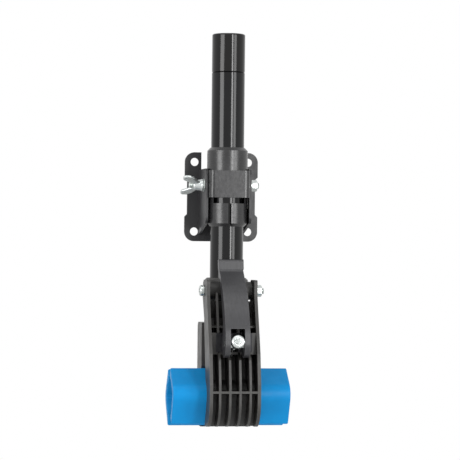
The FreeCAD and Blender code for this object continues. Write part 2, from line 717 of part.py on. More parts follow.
def clamp_body():
    """Moulded head: slit socket on the tube, pivot boss in front, rear jaw below."""
    socket = rod("socket_barrel", "Z", 0, axis_y, below(s.socket_length), s.head_top, s.socket_radius)
    rim = chamfer("socket_rim", socket, s.socket_bevel, circle_at("Z", s.head_top, s.socket_radius))
    boss = rod("pivot_boss_barrel", "X", pivot_y, pivot_z, -head_half, head_half, s.pivot_boss)
    bridge = box("pivot_bridge", -head_half, head_half, pivot_y, axis_y,
                 pivot_z - s.pivot_boss, pivot_z + s.pivot_boss)
    rear_y = axis_y + s.rear_back
    seat_start = (s.pad_vertex - s.grip_forward + s.rear_front) / facet_run
    jaw_outline = [
        (ahead(s.rear_front), below(s.rear_shoulder)),
        facet_point(1, seat_start),
        on_pad(1, s.pad_vertex, 0),
        floor_point(1),
        (rear_y - s.rear_heel, head_floor),
        (rear_y, head_floor + s.rear_heel),
        (rear_y, below(s.rear_shoulder)),
    ]
    jaw = prism("rear_jaw", "X", jaw_outline, -s.jaw_half, s.jaw_half,
                [(s.pad_round, [2]), (s.rear_round, [6])])
    lugs = box("pinch_lugs", -s.lug_half, s.lug_half, axis_y, axis_y + s.lug_reach,
               below(s.lug_top + s.lug_height), below(s.lug_top))
    solid = fuse("clamp_solid", rim, boss, bridge, jaw, lugs)
    tools = [
        rod("socket_bore", "Z", 0, axis_y, below(s.socket_length - s.wall_floor),
            s.head_top + s.wall_floor, bore_radius),
        box("socket_slit", -s.rear_slit / 2, s.rear_slit / 2, axis_y, axis_y + 2 * s.lug_reach,
            below(s.rear_slit_length), s.head_top + s.wall_floor),
        rod("pivot_bolt_hole", "X", pivot_y, pivot_z, -s.jaw_half, s.jaw_half, fixed_hole),
        rod("pinch_hole", "X", lug_y, lug_z, -s.jaw_half, s.jaw_half, s.pinch_radius + s.flat_play),
        rod("anchor_bore", "X", anchor_y, anchor_z, -s.anchor_half - s.side_gap, s.jaw_half,
            s.anchor_radius + s.run_fit),
        box("rear_rod_slot", -s.rod_slot_half, s.rod_slot_half, ahead(s.grip_forward), anchor_y,
            anchor_z - s.stud_radius, anchor_z + s.rod_slot_rise),
    ]
    pocket_front = pad_back + s.wall_floor
    for x in (-s.fin_pitch * 2, -s.fin_pitch, 0, s.fin_pitch, s.fin_pitch * 2):
        half = (s.fin_pitch - s.fin_thick) / 2
        tools.append(box("rear_rib_bay", x - half, x + half, pocket_front, rear_y + s.wall_floor,
                         head_floor + s.wall_floor, anchor_z - s.anchor_radius - s.wall_floor))
    return cut("clamp_moulding", solid, fuse("clamp_tools", *tools))


node("clamp_body", clamp_body())


# ---------------------------------------------------------------- rubber pads
def pad(name, sign):
    """Rubber pad: an angled block of even thickness, with a shallow round groove for the tube."""
    fold = s.pad_vertex - s.pad_thick
    outline = [
        on_pad(sign, s.pad_corner, s.pad_half_height),
        on_pad(sign, s.pad_vertex, 0),
        on_pad(sign, s.pad_corner, -s.pad_half_height),
        on_pad(sign, fold - s.pad_tip_height * facet_run, -s.pad_tip_height),
        on_pad(sign, fold, 0),
        on_pad(sign, fold - s.pad_tip_height * facet_run, s.pad_tip_height),
    ]
    half = s.pad_length / 2
    block = prism(f"{name}_block", "X", outline, -half, half,
                  [(s.pad_round, [1]), (s.pad_inner_round, [4])])
    grip = rod(f"{name}_grip", "X", grip_y, grip_z, -half, half, s.grip_radius)
    return cut(f"{name}_moulded", block, grip)


node("rear_pad", pad("rear_pad", 1))
node("front_pad", pad("front_pad", -1))


# ---------------------------------------------------------------- front jaw
rod_angle = slope(cam_z - anchor_z, anchor_y - cam_y)
rod_slope = (cam_z - anchor_z) / (anchor_y - cam_y)


def rod_height(y):
    """Z of the draw rod's axis where it crosses this Y."""
    return anchor_z + (anchor_y - y) * rod_slope


cam_middle_y = cam_y + s.cam_shift
cam_middle_z = cam_z - s.cam_drop
cam_face = cam_middle_y + s.cam_radius + s.seat_play
block_face = cam_face + s.seat_plate_thick
block_back = block_face + s.cam_block
sill_y, sill_z = facet_point(-1, s.sill_up)
toe_y = ahead(s.belly_forward)


def jaw_front(level):
    """Y of the slanted front edge of the jaw between its knee and its belly."""
    share = (s.knee_up - level) / (s.knee_up - s.jaw_belly_up)
    return ahead(s.knee_forward + (s.belly_forward - s.knee_forward) * share)


def web_back(level):
    """Y of the back face of the jaw's web between its waist and its sill."""
    share = (below(s.waist_below) - level) / (below(s.waist_below) - sill_z)
    return ahead(s.waist_forward) + (sill_y - ahead(s.waist_forward)) * share


web_rod_y = web_back(rod_height(sill_y))
face_rod_z = rod_height(block_face)
cam_slot_ends = (face_rod_z - s.stud_radius - s.fin_thick, face_rod_z + s.stud_radius + 2 * s.fin_thick)


def front_jaw():
    """Ribbed moulding: two side walls, pad seat, web, cam wall and open upright ribs."""
    eye_back = pivot_y + s.jaw_eye
    eye_top = pivot_z + s.jaw_eye
    waist = (ahead(s.waist_forward), below(s.waist_below))
    outline = [
        (eye_back, eye_top),
        (ahead(s.nose_forward), eye_top),
        (ahead(s.nose_forward), eye_top - s.nose_drop),
        (ahead(s.knee_forward), above_grip(s.knee_up)),
        (toe_y, above_grip(s.jaw_belly_up)),
        (toe_y, jaw_floor),
        floor_point(-1),
        on_pad(-1, s.pad_vertex, 0),
        (sill_y, sill_z),
        waist,
        (eye_back, pivot_z - s.jaw_eye / 2),
    ]
    rounds = [
        (s.toe_round, [5]),
        (s.jaw_eye_round, [0]),
        (s.arm_wall, [1]),
        (s.pad_round, [7]),
        (s.jaw_neck_round, [10]),
    ]
    wall = prism("jaw_wall_right", "X", outline, inner_half, s.jaw_half, rounds)
    pieces = [wall, mirrored("jaw_wall_left", wall)]
    wide = (-inner_half - s.arm_wall / 2, inner_half + s.arm_wall / 2)

    skin = s.arm_wall / sine(facet_angle)
    seat = [
        (sill_y, sill_z),
        on_pad(-1, s.pad_vertex, 0),
        floor_point(-1),
        floor_point(-1, skin),
        on_pad(-1, s.pad_vertex + skin, 0),
        facet_point(-1, s.sill_up, skin),
    ]
    pieces.append(prism("pad_seat_wall", "X", seat, *wide,
                        [(s.pad_round, [1]), (s.pad_round + s.arm_wall, [4])]))
    ribs_back = ahead(s.ribs_back)
    web = [
        (sill_y, sill_z),
        (waist[0] - s.flat_play, waist[1]),
        (ribs_back + s.arm_wall, below(s.upper_web_below)),
        (ribs_back, below(s.upper_web_below)),
        (waist[0] - s.arm_wall, waist[1]),
        (sill_y - s.arm_wall, sill_z),
    ]
    pieces.append(prism("jaw_web", "X", web, *wide))
    plate_top = cam_z + s.seat_plate_height / 2
    plate_bottom = cam_z - s.seat_plate_height / 2
    pieces.append(box("cam_wall", *wide, block_face, block_back,
                      plate_bottom - s.fin_thick, plate_top))
    for name, level in (("cam_shelf_top", plate_top), ("cam_shelf_bottom", plate_bottom)):
        pieces.append(box(name, *wide, block_face, web_back(level) - s.arm_wall / 2,
                          level - s.fin_thick, level))
    rib_z = (waist[1] + plate_top) / 2
    rib_front = ahead((s.nose_forward + s.knee_forward) / 2 - s.rib_setback)
    pieces.append(box("jaw_level_rib", *wide, rib_front, waist[0] - s.arm_wall, rib_z - s.fin_thick, rib_z))

    half_wall = s.arm_wall / 2
    fin = [
        (sill_y - half_wall, sill_z),
        (waist[0] - half_wall, waist[1]),
        (ribs_back + half_wall, below(s.upper_web_below)),
        (ribs_back, below(s.ribs_top)),
        (ahead(s.ribs_front), below(s.ribs_top)),
        (block_back - s.fin_thick, plate_top),
        (block_back - s.fin_thick, plate_bottom),
        (block_face, plate_bottom),
        (jaw_front(s.low_ribs_up) + s.fin_thick, above_grip(s.low_ribs_up) + s.fin_thick),
        (jaw_front(s.low_ribs_up), above_grip(s.low_ribs_up)),
        (toe_y, above_grip(s.jaw_belly_up)),
        (toe_y, jaw_floor),
        floor_point(-1, skin / 2),
        on_pad(-1, s.pad_vertex + skin / 2, 0),
    ]
    for count in (-1.5, -0.5, 0.5, 1.5):
        middle = s.fin_pitch * count
        pieces.append(prism("jaw_fin", "X", fin, middle - s.fin_thick / 2, middle + s.fin_thick / 2,
                            [(s.toe_round, [11]), (s.pad_round + half_wall, [13])]))
    web_z = above_grip(s.cross_web_up)
    seat_back = on_pad(-1, pad_back - grip_y + half_wall, 0)[0]
    pieces.append(box("jaw_cross_web", *wide, toe_y + s.side_gap, seat_back,
                      web_z - s.fin_thick / 2, web_z + s.fin_thick / 2))
    web_slot_bottom = rod_height(web_rod_y) - s.stud_radius - s.fin_thick
    tools = [
        rod("jaw_pivot_hole", "X", pivot_y, pivot_z, -s.jaw_half, s.jaw_half, turning_bore),
        box("web_rod_slot", -s.rod_slot_half, s.rod_slot_half, block_back - s.fin_thick,
            web_rod_y + s.arm_wall, web_slot_bottom, web_slot_bottom + s.rod_slot_height),
        box("cam_rod_slot", -s.rod_slot_half, s.rod_slot_half, block_face - s.fin_thick,
            block_back + s.fin_thick, *cam_slot_ends),
    ]
    return cut("front_jaw_moulding", fuse("front_jaw_solid", *pieces), fuse("front_jaw_tools", *tools))


def cam_seat_plate():
    """Steel wear plate that the cam bears on, slotted for the draw rod."""
    plate = box("seat_plate_blank", -s.seat_plate_half, s.seat_plate_half, cam_face, block_face,
                cam_z - s.seat_plate_height / 2, cam_z + s.seat_plate_height / 2)
    slot = box("seat_plate_slot", -s.rod_slot_half, s.rod_slot_half, cam_face, block_face,
               *cam_slot_ends)
    return cut("seat_plate_slotted", plate, slot)


node("front_jaw", front_jaw())
node("cam_seat_plate", cam_seat_plate())


# ---------------------------------------------------------------- bolts of the clamp head
def cap_bolt(name, y, z, radius, sign, head_at, end_at):
    """Button-head bolt along X: head on one side, threaded end on the other."""
    head_length = radius * s.button_length_ratio
    head_radius = radius * s.button_head_ratio
    head_faces = side(sign, head_at, head_at + head_length)
    outer_face = head_faces[1] if sign > 0 else head_faces[0]
    head = rod(f"{name}_head", "X", y, z, *head_faces, head_radius)
    outer_edge = circle_at("X", outer_face, head_radius)
    domed = fillet(f"{name}_domed", head, radius * s.button_dome_ratio, outer_edge)
    key_faces = side(sign, head_at + head_length * s.key_floor_ratio, head_at + head_length)
    key = hexagon(f"{name}_key", "X", y, z, *key_faces, 2 * radius * s.key_ratio)
    shank_faces = (-end_at, head_at) if sign > 0 else (-head_at, end_at)
    shank = rod(f"{name}_shank", "X", y, z, *shank_faces, radius)
    return cut(f"{name}_bolt", fuse(f"{name}_blank", domed, shank), key)


pivot_washer_at = s.jaw_half + s.flat_play
pivot_nut_at = pivot_washer_at + s.washer_thick
node("jaw_pivot_bolt", cap_bolt("jaw_pivot", pivot_y, pivot_z, s.stud_radius, -1, pivot_nut_at,
                                pivot_nut_at + s.nut_height + s.fin_thick))
node("jaw_pivot_nut", hexagon_nut("jaw_pivot", 1, pivot_y, pivot_z, pivot_nut_at, s.nut_flats,
                                  s.nut_height, fixed_hole))
node("jaw_pivot_washers", group(
    "jaw_pivot_washer_pair",
    washer("jaw_washer_left", -1, pivot_y, pivot_z, pivot_washer_at, s.small_washer_radius, fixed_hole),
    washer("jaw_washer_right", 1, pivot_y, pivot_z, pivot_washer_at, s.small_washer_radius, fixed_hole)))
node("pinch_bolt", cap_bolt("pinch", lug_y, lug_z, s.pinch_radius, 1, s.lug_half,
                            s.lug_half + s.nut_height + s.fin_thick / 2))
node("pinch_nut", hexagon_nut("pinch", -1, lug_y, lug_z, s.lug_half, s.pinch_flats,
                              s.pinch_nut_height, s.pinch_radius + s.flat_play))


# ---------------------------------------------------------------- draw rod and its pieces
rod_reach = (anchor_y - cam_y) / cosine(rod_angle)


def tilt(thing, distance):
    """Lay a piece made along Z onto the draw rod, starting this far from the anchor."""
    thing.Placement.Rotation = FreeCAD.Rotation(FreeCAD.Vector(1, 0, 0), 1)
    thing.setExpression("Placement.Rotation.Angle", text(90 - rod_angle))
    return place(thing, 0, anchor_y - distance * cosine(rod_angle),
                 anchor_z + distance * sine(rod_angle))


def rod_disc(name, start, length, radius):
    """Cylinder on the draw rod's axis."""
    made = doc.addObject("Part::Cylinder", name)
    bind(made, Radius=radius, Height=length)
    return tilt(made, start)


def rod_ring(name, start, length, radius, hole):
    """Ring on the draw rod's axis."""
    return cut(name, rod_disc(f"{name}_disc", start, length, radius),
               rod_disc(f"{name}_hole", start, length, hole))


adjuster_at = rod_reach + s.cam_pin_radius + s.washer_thick + s.flat_play
rod_length = adjuster_at + s.adjuster_length + s.rod_end
anchor_blank = rod("anchor_blank", "X", anchor_y, anchor_z, -s.anchor_half, s.anchor_half, s.anchor_radius)
node("draw_rod", rod_disc("draw_rod_bar", 0, rod_length, s.stud_radius))
node("rod_anchor", cut("anchor_tapped", anchor_blank,
                       rod_disc("anchor_thread", 0, s.anchor_radius + s.washer_thick, fixed_hole)))

pin_half = s.lever_slot_half - s.side_gap
pin_barrel = rod("cam_pin_barrel", "X", cam_y, cam_z, -pin_half, pin_half, s.cam_pin_radius)
pin_ends = rod("cam_pin_ends", "X", cam_y, cam_z, -s.lever_half, s.lever_half, s.cam_pin_end)
node("cam_pin", cut("cam_pin_drilled", fuse("cam_pin_solid", pin_barrel, pin_ends),
                    rod_disc("cam_pin_cross_hole", rod_reach - 2 * s.cam_pin_radius,
                             4 * s.cam_pin_radius, turning_bore)))
node("thrust_washer", rod_ring("thrust_washer_ring", rod_reach + s.cam_pin_radius, s.washer_thick,
                               s.adjuster_radius, turning_bore))
nut_dome = circle_at("Z", s.adjuster_length, s.adjuster_radius)


def adjuster_nut():
    """Round-headed adjuster nut, free to turn on the end of the draw rod."""
    blank = doc.addObject("Part::Cylinder", "adjuster_blank")
    bind(blank, Radius=s.adjuster_radius, Height=s.adjuster_length)
    domed = fillet("adjuster_domed", blank, s.adjuster_dome, nut_dome)
    hole = doc.addObject("Part::Cylinder", "adjuster_thread")
    bind(hole, Radius=turning_bore, Height=s.adjuster_length)
    slot = doc.addObject("Part::Box", "adjuster_slot")
    bind(slot, Length=s.adjuster_radius * 2, Width=s.washer_thick, Height=s.washer_thick)
    place(slot, -s.adjuster_radius, -s.washer_thick / 2, s.adjuster_length - s.washer_thick)
    return tilt(cut("adjuster_tapped", domed, fuse("adjuster_tools", hole, slot)), adjuster_at)


node("adjuster_nut", adjuster_nut())

cup_face = ahead(s.rear_front)
spring_at = (anchor_y - cup_face + s.spring_cup_thick) / cosine(rod_angle) + s.spring_lift
front_cup_at = (anchor_y - web_rod_y) / cosine(rod_angle) - s.cup_gap - s.spring_cup_thick
cup_z = anchor_z + s.rear_cup_rise
cup_faces = (cup_face - s.spring_cup_thick, cup_face)
node("spring_cup_rear", cut("rear_cup_ring",
                            rod("rear_cup_disc", "Y", 0, cup_z, *cup_faces, s.rear_cup_radius),
                            rod("rear_cup_hole", "Y", 0, cup_z, *cup_faces, s.rear_cup_hole)))
node("spring_cup_front", rod_ring("front_cup_ring", front_cup_at, s.spring_cup_thick,
                                  s.spring_cup_radius, turning_bore))


def opening_spring():
    """Compression spring between the two washers, wound round the draw rod."""
    height = front_cup_at - spring_at - s.spring_wire - s.side_gap
    path = doc.addObject("Part::Helix", "spring_path")
    bind(path, Radius=s.spring_radius, Height=height, Pitch=height / s.spring_turns)
    wire = doc.addObject("Part::Circle", "spring_section")
    bind(wire, Radius=s.spring_wire)
    wire.Placement = FreeCAD.Placement(FreeCAD.Vector(), FreeCAD.Rotation(FreeCAD.Vector(1, 0, 0), 90))
    place(wire, s.spring_radius, 0, 0)
    doc.recompute()
    swept = doc.addObject("Part::Sweep", "spring_swept")
    swept.Sections = [wire]
    swept.Spine = (path, [f"Edge{i}" for i in range(1, len(path.Shape.Edges) + 1)])
    swept.Solid = True
    swept.Frenet = True
    return tilt(swept, spring_at)


node("opening_spring", opening_spring())


# ---------------------------------------------------------------- cam lever
def cam_lever():
    """Hollow lever with two cam cheeks, a slot for the nut and a thumb hook."""
    def at(forward, up):
        return (cam_y - forward, cam_z + up)

    front = s.cam_radius - s.cam_shift
    hook_in = s.neck_in + s.hook_lean
    outline = [
        at(-s.cam_radius, 0),
        at(front, 0),
        at(s.back_low_out, s.back_low_up),
        at(s.back_mid_out, s.back_mid_up),
        at(-s.back_high_in, s.back_high_up),
        at(-s.neck_in, s.neck_up),
        at(-hook_in, s.hook_up),
        at(-hook_in - s.hook_thick, s.hook_up),
        at(-s.neck_in - s.hook_thick, s.neck_up),
        at(-s.belly_in, s.belly_up),
        at(-s.throat_in, s.throat_up),
    ]
    rounds = [
        (s.back_low_round, [2]),
        (s.back_high_round, [3, 4]),
        (s.hook_thick, [5, 8]),
        (s.hook_round, [6, 7]),
        (s.belly_round, [9]),
        (s.throat_round, [10]),
    ]
    half = s.lever_half
    blade = prism("lever_blade", "X", outline, -half, half, rounds)
    hook_foot = s.hook_up - s.hook_face
    hook = [
        at(-s.neck_in, hook_foot),
        at(-hook_in, s.hook_up),
        at(-hook_in - s.hook_thick, s.hook_up),
        at(-s.neck_in - s.hook_thick, hook_foot),
    ]
    wide_hook = prism("lever_hook", "X", hook, -s.hook_half, s.hook_half,
                      [(s.hook_round, [1, 2])])
    cam = rod("lever_cam", "X", cam_middle_y, cam_middle_z, -half, half, s.cam_radius)
    spine = s.lever_spine
    slant = spine * cosine(45)
    hollow_top = s.neck_up - s.hollow_end
    hollow = [
        at(-s.cam_radius / 2, 0),
        at(front - spine, 0),
        at(s.back_low_out - spine, s.back_low_up),
        at(s.back_mid_out - spine, s.back_mid_up - slant),
        at(-s.back_high_in - slant, s.back_high_up - slant),
        at(-s.neck_in + slant, hollow_top),
        at(-s.neck_in - s.hook_thick, hollow_top),
        at(-s.belly_in - s.hook_thick, s.belly_up - spine),
        at(-s.throat_in - s.hook_thick, s.throat_up),
    ]
    room = half - s.lever_cheek
    tools = [
        prism("lever_hollow", "X", hollow, -room, room),
        rod("lever_slot", "X", cam_y, cam_z, -s.lever_slot_half, s.lever_slot_half,
            s.lever_slot_radius),
        rod("lever_pin_hole", "X", cam_y, cam_z, -half, half, s.cam_pin_end + s.run_fit),
    ]
    shell = cut("lever_shell", fuse("lever_solid", blade, cam, wide_hook), fuse("lever_tools", *tools))
    ribs = []
    for up, inward in ((s.back_mid_up, s.throat_in + s.lever_spine), (s.back_high_up, s.belly_in)):
        rib = box("lever_rib", -room - s.side_gap, room + s.side_gap, cam_y - s.back_mid_out,
                  cam_y + inward + s.lever_spine, cam_z + up, cam_z + up + s.lever_rib)
        ribs.append(common("lever_rib_trimmed", rib, blade))
    return fuse("lever_ribbed", shell, *ribs)


node("cam_lever", cam_lever())


# ---------------------------------------------------------------- check and write
doc.recompute()
for thing in doc.Objects:
    if "Invalid" in thing.State or "Error" in thing.State:
        raise RuntimeError(f"{thing.Name} failed: {thing.State}")
os.makedirs("parts", exist_ok=True)
for name, shape_object in nodes.items():
    shape = shape_object.Shape
    if shape.isNull() or not shape.isValid() or not shape.Solids:
        raise RuntimeError(f"{name} has no valid solid")
    shape.exportStep(f"parts/{name}.step")
    print(f"{name:18s} solids {len(shape.Solids)}  volume {shape.Volume:10.1f} mm3")
print(len(nodes), "sub-parts written")
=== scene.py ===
# %% [markdown]
# # A wall-mounted bicycle clamp, dressed in Blender
#
# The imported model is the frame: every CAD solid is already in its place. The whole
# clamp could be modelled again as meshes, but then its sizes and joints could drift from
# the CAD. So each solid stays and gets a real finish, and only the pieces whose solids
# are plainer than the real ones are made again.

import json
import math

import bmesh
import bpy
from mathutils import Matrix, Vector


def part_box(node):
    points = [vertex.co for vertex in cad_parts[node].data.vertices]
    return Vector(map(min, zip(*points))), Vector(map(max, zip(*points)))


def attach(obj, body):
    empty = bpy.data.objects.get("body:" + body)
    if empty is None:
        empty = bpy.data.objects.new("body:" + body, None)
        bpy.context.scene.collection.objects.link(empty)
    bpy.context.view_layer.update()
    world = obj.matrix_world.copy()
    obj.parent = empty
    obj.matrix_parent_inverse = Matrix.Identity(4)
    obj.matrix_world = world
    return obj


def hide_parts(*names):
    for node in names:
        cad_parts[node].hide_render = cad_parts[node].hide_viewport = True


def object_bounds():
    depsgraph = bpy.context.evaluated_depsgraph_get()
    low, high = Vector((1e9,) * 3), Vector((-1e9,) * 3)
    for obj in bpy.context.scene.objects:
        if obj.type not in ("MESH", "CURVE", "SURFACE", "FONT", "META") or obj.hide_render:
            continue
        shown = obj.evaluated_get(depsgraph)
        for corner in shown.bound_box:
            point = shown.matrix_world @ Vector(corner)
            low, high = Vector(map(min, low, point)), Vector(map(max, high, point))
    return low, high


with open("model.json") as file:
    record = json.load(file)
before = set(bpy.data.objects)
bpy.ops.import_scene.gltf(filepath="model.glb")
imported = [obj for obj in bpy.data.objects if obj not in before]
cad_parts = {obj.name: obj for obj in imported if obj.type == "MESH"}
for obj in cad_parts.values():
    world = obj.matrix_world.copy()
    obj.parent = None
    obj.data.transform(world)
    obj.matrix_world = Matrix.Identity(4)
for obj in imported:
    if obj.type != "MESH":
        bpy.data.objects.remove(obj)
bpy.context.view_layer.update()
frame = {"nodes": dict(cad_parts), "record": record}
MM = 0.001

# %% [markdown]
# ## Colours and nodes
#
# Colours are written as sRGB hex, the way a paint chart gives them, and one function
# turns them to the linear numbers that shaders use. One more function adds a node with
# its settings and links. Nodes could be wired one line at a time, but then a material
# fills a page; this way it reads as a list. A pattern's size is given in millimetres:
# a noise texture's scale is one over the size of its grain. Noise seldom leaves the
# middle of its range, so colours and roughness are spread over that middle alone.


# %% Colours and nodes
NOISE_MIDDLE = (0.3, 0.7)
FROM_NOISE = {"From Min": NOISE_MIDDLE[0], "From Max": NOISE_MIDDLE[1]}


def srgb(hex_code):
    """Linear RGBA from an sRGB hex code such as #cfd3cf."""
    parts = [int(hex_code[i:i + 2], 16) / 255 for i in (1, 3, 5)]
    return (*[p / 12.92 if p <= 0.04045 else ((p + 0.055) / 1.055) ** 2.4 for p in parts], 1)


def add(tree, kind, inputs=None, shades=(), **settings):
    """One node with its settings. An input is a value, a socket, or a node's first output.

    shades are the two hex codes of a colour ramp, laid over the middle of the noise.
    """
    made = tree.nodes.new(kind)
    for key, value in settings.items():
        setattr(made, key, value)
    for index, code in enumerate(shades):
        made.color_ramp.elements[index].position = NOISE_MIDDLE[index]
        made.color_ramp.elements[index].color = srgb(code)
    for key, value in (inputs or {}).items():
        source = value.outputs[0] if isinstance(value, bpy.types.Node) else value
        if isinstance(source, bpy.types.NodeSocket):
            tree.links.new(source, made.inputs[key])
        else:
            made.inputs[key].default_value = source
    return made


def per_mm(size):
    """Texture scale for a pattern whose grains are this many millimetres across."""
    return 1 / (size * MM)


def blank(name):
    """A new material, its empty node tree, and where each point lies on its piece."""
    made = bpy.data.materials.new(name)
    made.use_nodes = True
    made.node_tree.nodes.clear()
    place = add(made.node_tree, "ShaderNodeTexCoord").outputs["Object"]
    return made, made.node_tree, place


FINISH = {}
print("colour and node helpers ready")

# %% [markdown]
# ## Powder-coated steel, for the wall plate
#
# The bracket is folded sheet steel under a black powder coat. The powder melts into a
# fine pebbled skin, so highlights are soft and slightly broken. The skin could be real
# geometry, but it is far finer than the mesh, so noise drives a bump. The grains are
# about 0.5 mm across; they are drawn at 0.9 mm so that they show.


# %% Black powder-coated steel
def powder_coated_steel():
    """Black powder coat, pebbled, with clouds of slightly duller skin."""
    made, tree, place = blank("powder_coated_steel_black")
    clouds = add(tree, "ShaderNodeTexNoise", {"Vector": place, "Scale": per_mm(30)})
    dullness = add(tree, "ShaderNodeTexNoise", {"Vector": place, "Scale": per_mm(6)})
    pebbles = add(tree, "ShaderNodeTexNoise", {"Vector": place, "Scale": per_mm(0.9)})
    shader = add(tree, "ShaderNodeBsdfPrincipled", {
        "Base Color": add(tree, "ShaderNodeValToRGB", {"Fac": clouds}, ("#1c1c1e", "#252527")),
        "Roughness": add(tree, "ShaderNodeMapRange", {
            "Value": dullness, **FROM_NOISE, "To Min": 0.36, "To Max": 0.48}),
        "IOR": 1.5,
        "Normal": add(tree, "ShaderNodeBump", {"Height": pebbles, "Distance": 0.035 * MM})})
    add(tree, "ShaderNodeOutputMaterial", {"Surface": shader})
    return made


FINISH["black_coated_steel"] = powder_coated_steel()
print("made", FINISH["black_coated_steel"].name)

# %% [markdown]
# ## Coated cast alloy, for the swivel collar
#
# The collar is an aluminium casting under a dark grey lacquer with a dull shine. Casting
# skin is a little uneven, with grains of about a millimetre, and the lacquer hides the
# metal. It could be a metal under a clear coat, but the lacquer is opaque, so a plain
# grey is truer. Two bumps, one on the other, give the grains and the wider waves.


# %% Grey coated casting
def coated_casting():
    """Dark grey lacquer over casting skin, which shows the lamps as soft upright bands."""
    made, tree, place = blank("cast_aluminium_coated_grey")
    clouds = add(tree, "ShaderNodeTexNoise", {"Vector": place, "Scale": per_mm(14), "Detail": 3})
    dullness = add(tree, "ShaderNodeTexNoise", {"Vector": place, "Scale": per_mm(3)})
    grains = add(tree, "ShaderNodeTexNoise", {"Vector": place, "Scale": per_mm(0.8)})
    waves = add(tree, "ShaderNodeTexNoise", {"Vector": place, "Scale": per_mm(5)})
    skin = add(tree, "ShaderNodeBump", {"Height": grains, "Distance": 0.04 * MM})
    shader = add(tree, "ShaderNodeBsdfPrincipled", {
        "Base Color": add(tree, "ShaderNodeValToRGB", {"Fac": clouds}, ("#222223", "#2d2d2e")),
        "Roughness": add(tree, "ShaderNodeMapRange", {
            "Value": dullness, **FROM_NOISE, "To Min": 0.22, "To Max": 0.31}),
        "IOR": 1.5,
        "Normal": add(tree, "ShaderNodeBump", {
            "Height": waves, "Distance": 0.08 * MM, "Normal": skin})})
    add(tree, "ShaderNodeOutputMaterial", {"Surface": shader})
    return made


FINISH["grey_cast_alloy"] = coated_casting()
print("made", FINISH["grey_cast_alloy"].name)

# %% [markdown]
# ## Gloss paint and gloss moulding, for the arm
#
# The arm is steel tube under gloss black paint, with a moulded ABS cap of the same
# black. Both mirror the lamps as long upright streaks. A clear coat over the black
# could give the gloss too, but it doubles what the paint mirrors and greys it, so one
# layer is used. Its specular level is below the usual 0.5, so that the paint stays black
# in an all-white room. The paint has a faint orange peel about a centimetre wide; the
# moulding is flatter and a shade warmer.


# %% Gloss black paint and gloss black moulding
def gloss_black(name, low, high, peel_mm):
    """Gloss black with upright bands of slightly softer shine and waves peel_mm wide."""
    made, tree, place = blank(name)
    clouds = add(tree, "ShaderNodeTexNoise", {"Vector": place, "Scale": per_mm(22)})
    upright = add(tree, "ShaderNodeMapping", {"Vector": place, "Scale": (1, 1, 0.2)})
    bands = add(tree, "ShaderNodeTexNoise", {"Vector": upright, "Scale": per_mm(9), "Detail": 3})
    peel = add(tree, "ShaderNodeTexNoise", {
        "Vector": place, "Scale": per_mm(peel_mm), "Detail": 1})
    shader = add(tree, "ShaderNodeBsdfPrincipled", {
        "Base Color": add(tree, "ShaderNodeValToRGB", {"Fac": clouds}, (low, high)),
        "Roughness": add(tree, "ShaderNodeMapRange", {
            "Value": bands, **FROM_NOISE, "To Min": 0.08, "To Max": 0.14}),
        "IOR": 1.5,
        "Specular IOR Level": 0.3,
        "Normal": add(tree, "ShaderNodeBump", {"Height": peel, "Distance": 0.006 * MM})})
    add(tree, "ShaderNodeOutputMaterial", {"Surface": shader})
    return made


FINISH["gloss_black_tube"] = gloss_black("gloss_paint_black", "#08080a", "#0b0b0c", peel_mm=12)
FINISH["gloss_black_cap"] = gloss_black("gloss_abs_black", "#0b0a0a", "#0e0d0d", peel_mm=16)
print("made", FINISH["gloss_black_tube"].name, "and", FINISH["gloss_black_cap"].name)

# %% [markdown]
# ## Glass-filled nylon, for the head, the jaw and the lever
#
# Nylon filled with short glass comes out of the mould a soft dark grey rather than
# black, with a dry skin where the fibres lie near the surface. The mould's sparked
# finish is a fine even grain, and the melt leaves faint clouds. The lever's mould was
# polished along its length, so it shines more and shows fine lengthwise lines. Edges
# are painted a little lighter: a painted highlight, where rounded edges would catch the
# lamps. It could follow the mesh's pointiness, but the CAD mesh is too coarse for it;
# the bevel node finds the edges on any mesh.


# %% Glass-filled nylon
def filled_nylon(name, low, high, painted_highlight, dullest, glossiest, flow_mm, stretch):
    """Moulded nylon with painted highlights on its edges. Its flow marks are flow_mm wide and
    stretched along the piece.
    """
    made, tree, place = blank(name)
    stretched = add(tree, "ShaderNodeMapping", {"Vector": place, "Scale": stretch})
    flow = add(tree, "ShaderNodeTexNoise", {
        "Vector": stretched, "Scale": per_mm(flow_mm), "Detail": 3})
    sparks = add(tree, "ShaderNodeTexNoise", {"Vector": place, "Scale": per_mm(0.7), "Detail": 3})
    skin = add(tree, "ShaderNodeValToRGB", {"Fac": flow}, (low, high))

    # Edges get a lighter colour here: a painted highlight, standing in for lamps caught on rounded
    # edges.
    eased = add(tree, "ShaderNodeBevel", {"Radius": 0.5 * MM}, samples=6)
    flat = add(tree, "ShaderNodeNewGeometry").outputs["Normal"]
    agreement = add(tree, "ShaderNodeVectorMath", {0: eased, 1: flat}, operation="DOT_PRODUCT")
    painted_edge_highlight = add(tree, "ShaderNodeMapRange", {
        "Value": agreement.outputs["Value"], "From Min": 0.82, "From Max": 0.99,
        "To Min": 0.8, "To Max": 0})
    colour = add(tree, "ShaderNodeMix", {0: painted_edge_highlight, 6: skin, 7: srgb(painted_highlight)}, data_type="RGBA")

    fine = add(tree, "ShaderNodeBump", {"Height": sparks, "Distance": 0.025 * MM})
    shader = add(tree, "ShaderNodeBsdfPrincipled", {
        "Base Color": colour.outputs[2],
        "Roughness": add(tree, "ShaderNodeMapRange", {
            "Value": flow, **FROM_NOISE, "To Min": dullest, "To Max": glossiest}),
        "IOR": 1.53,
        "Normal": add(tree, "ShaderNodeBump", {
            "Height": flow, "Distance": 0.03 * MM, "Normal": fine})})
    add(tree, "ShaderNodeOutputMaterial", {"Surface": shader})
    return made
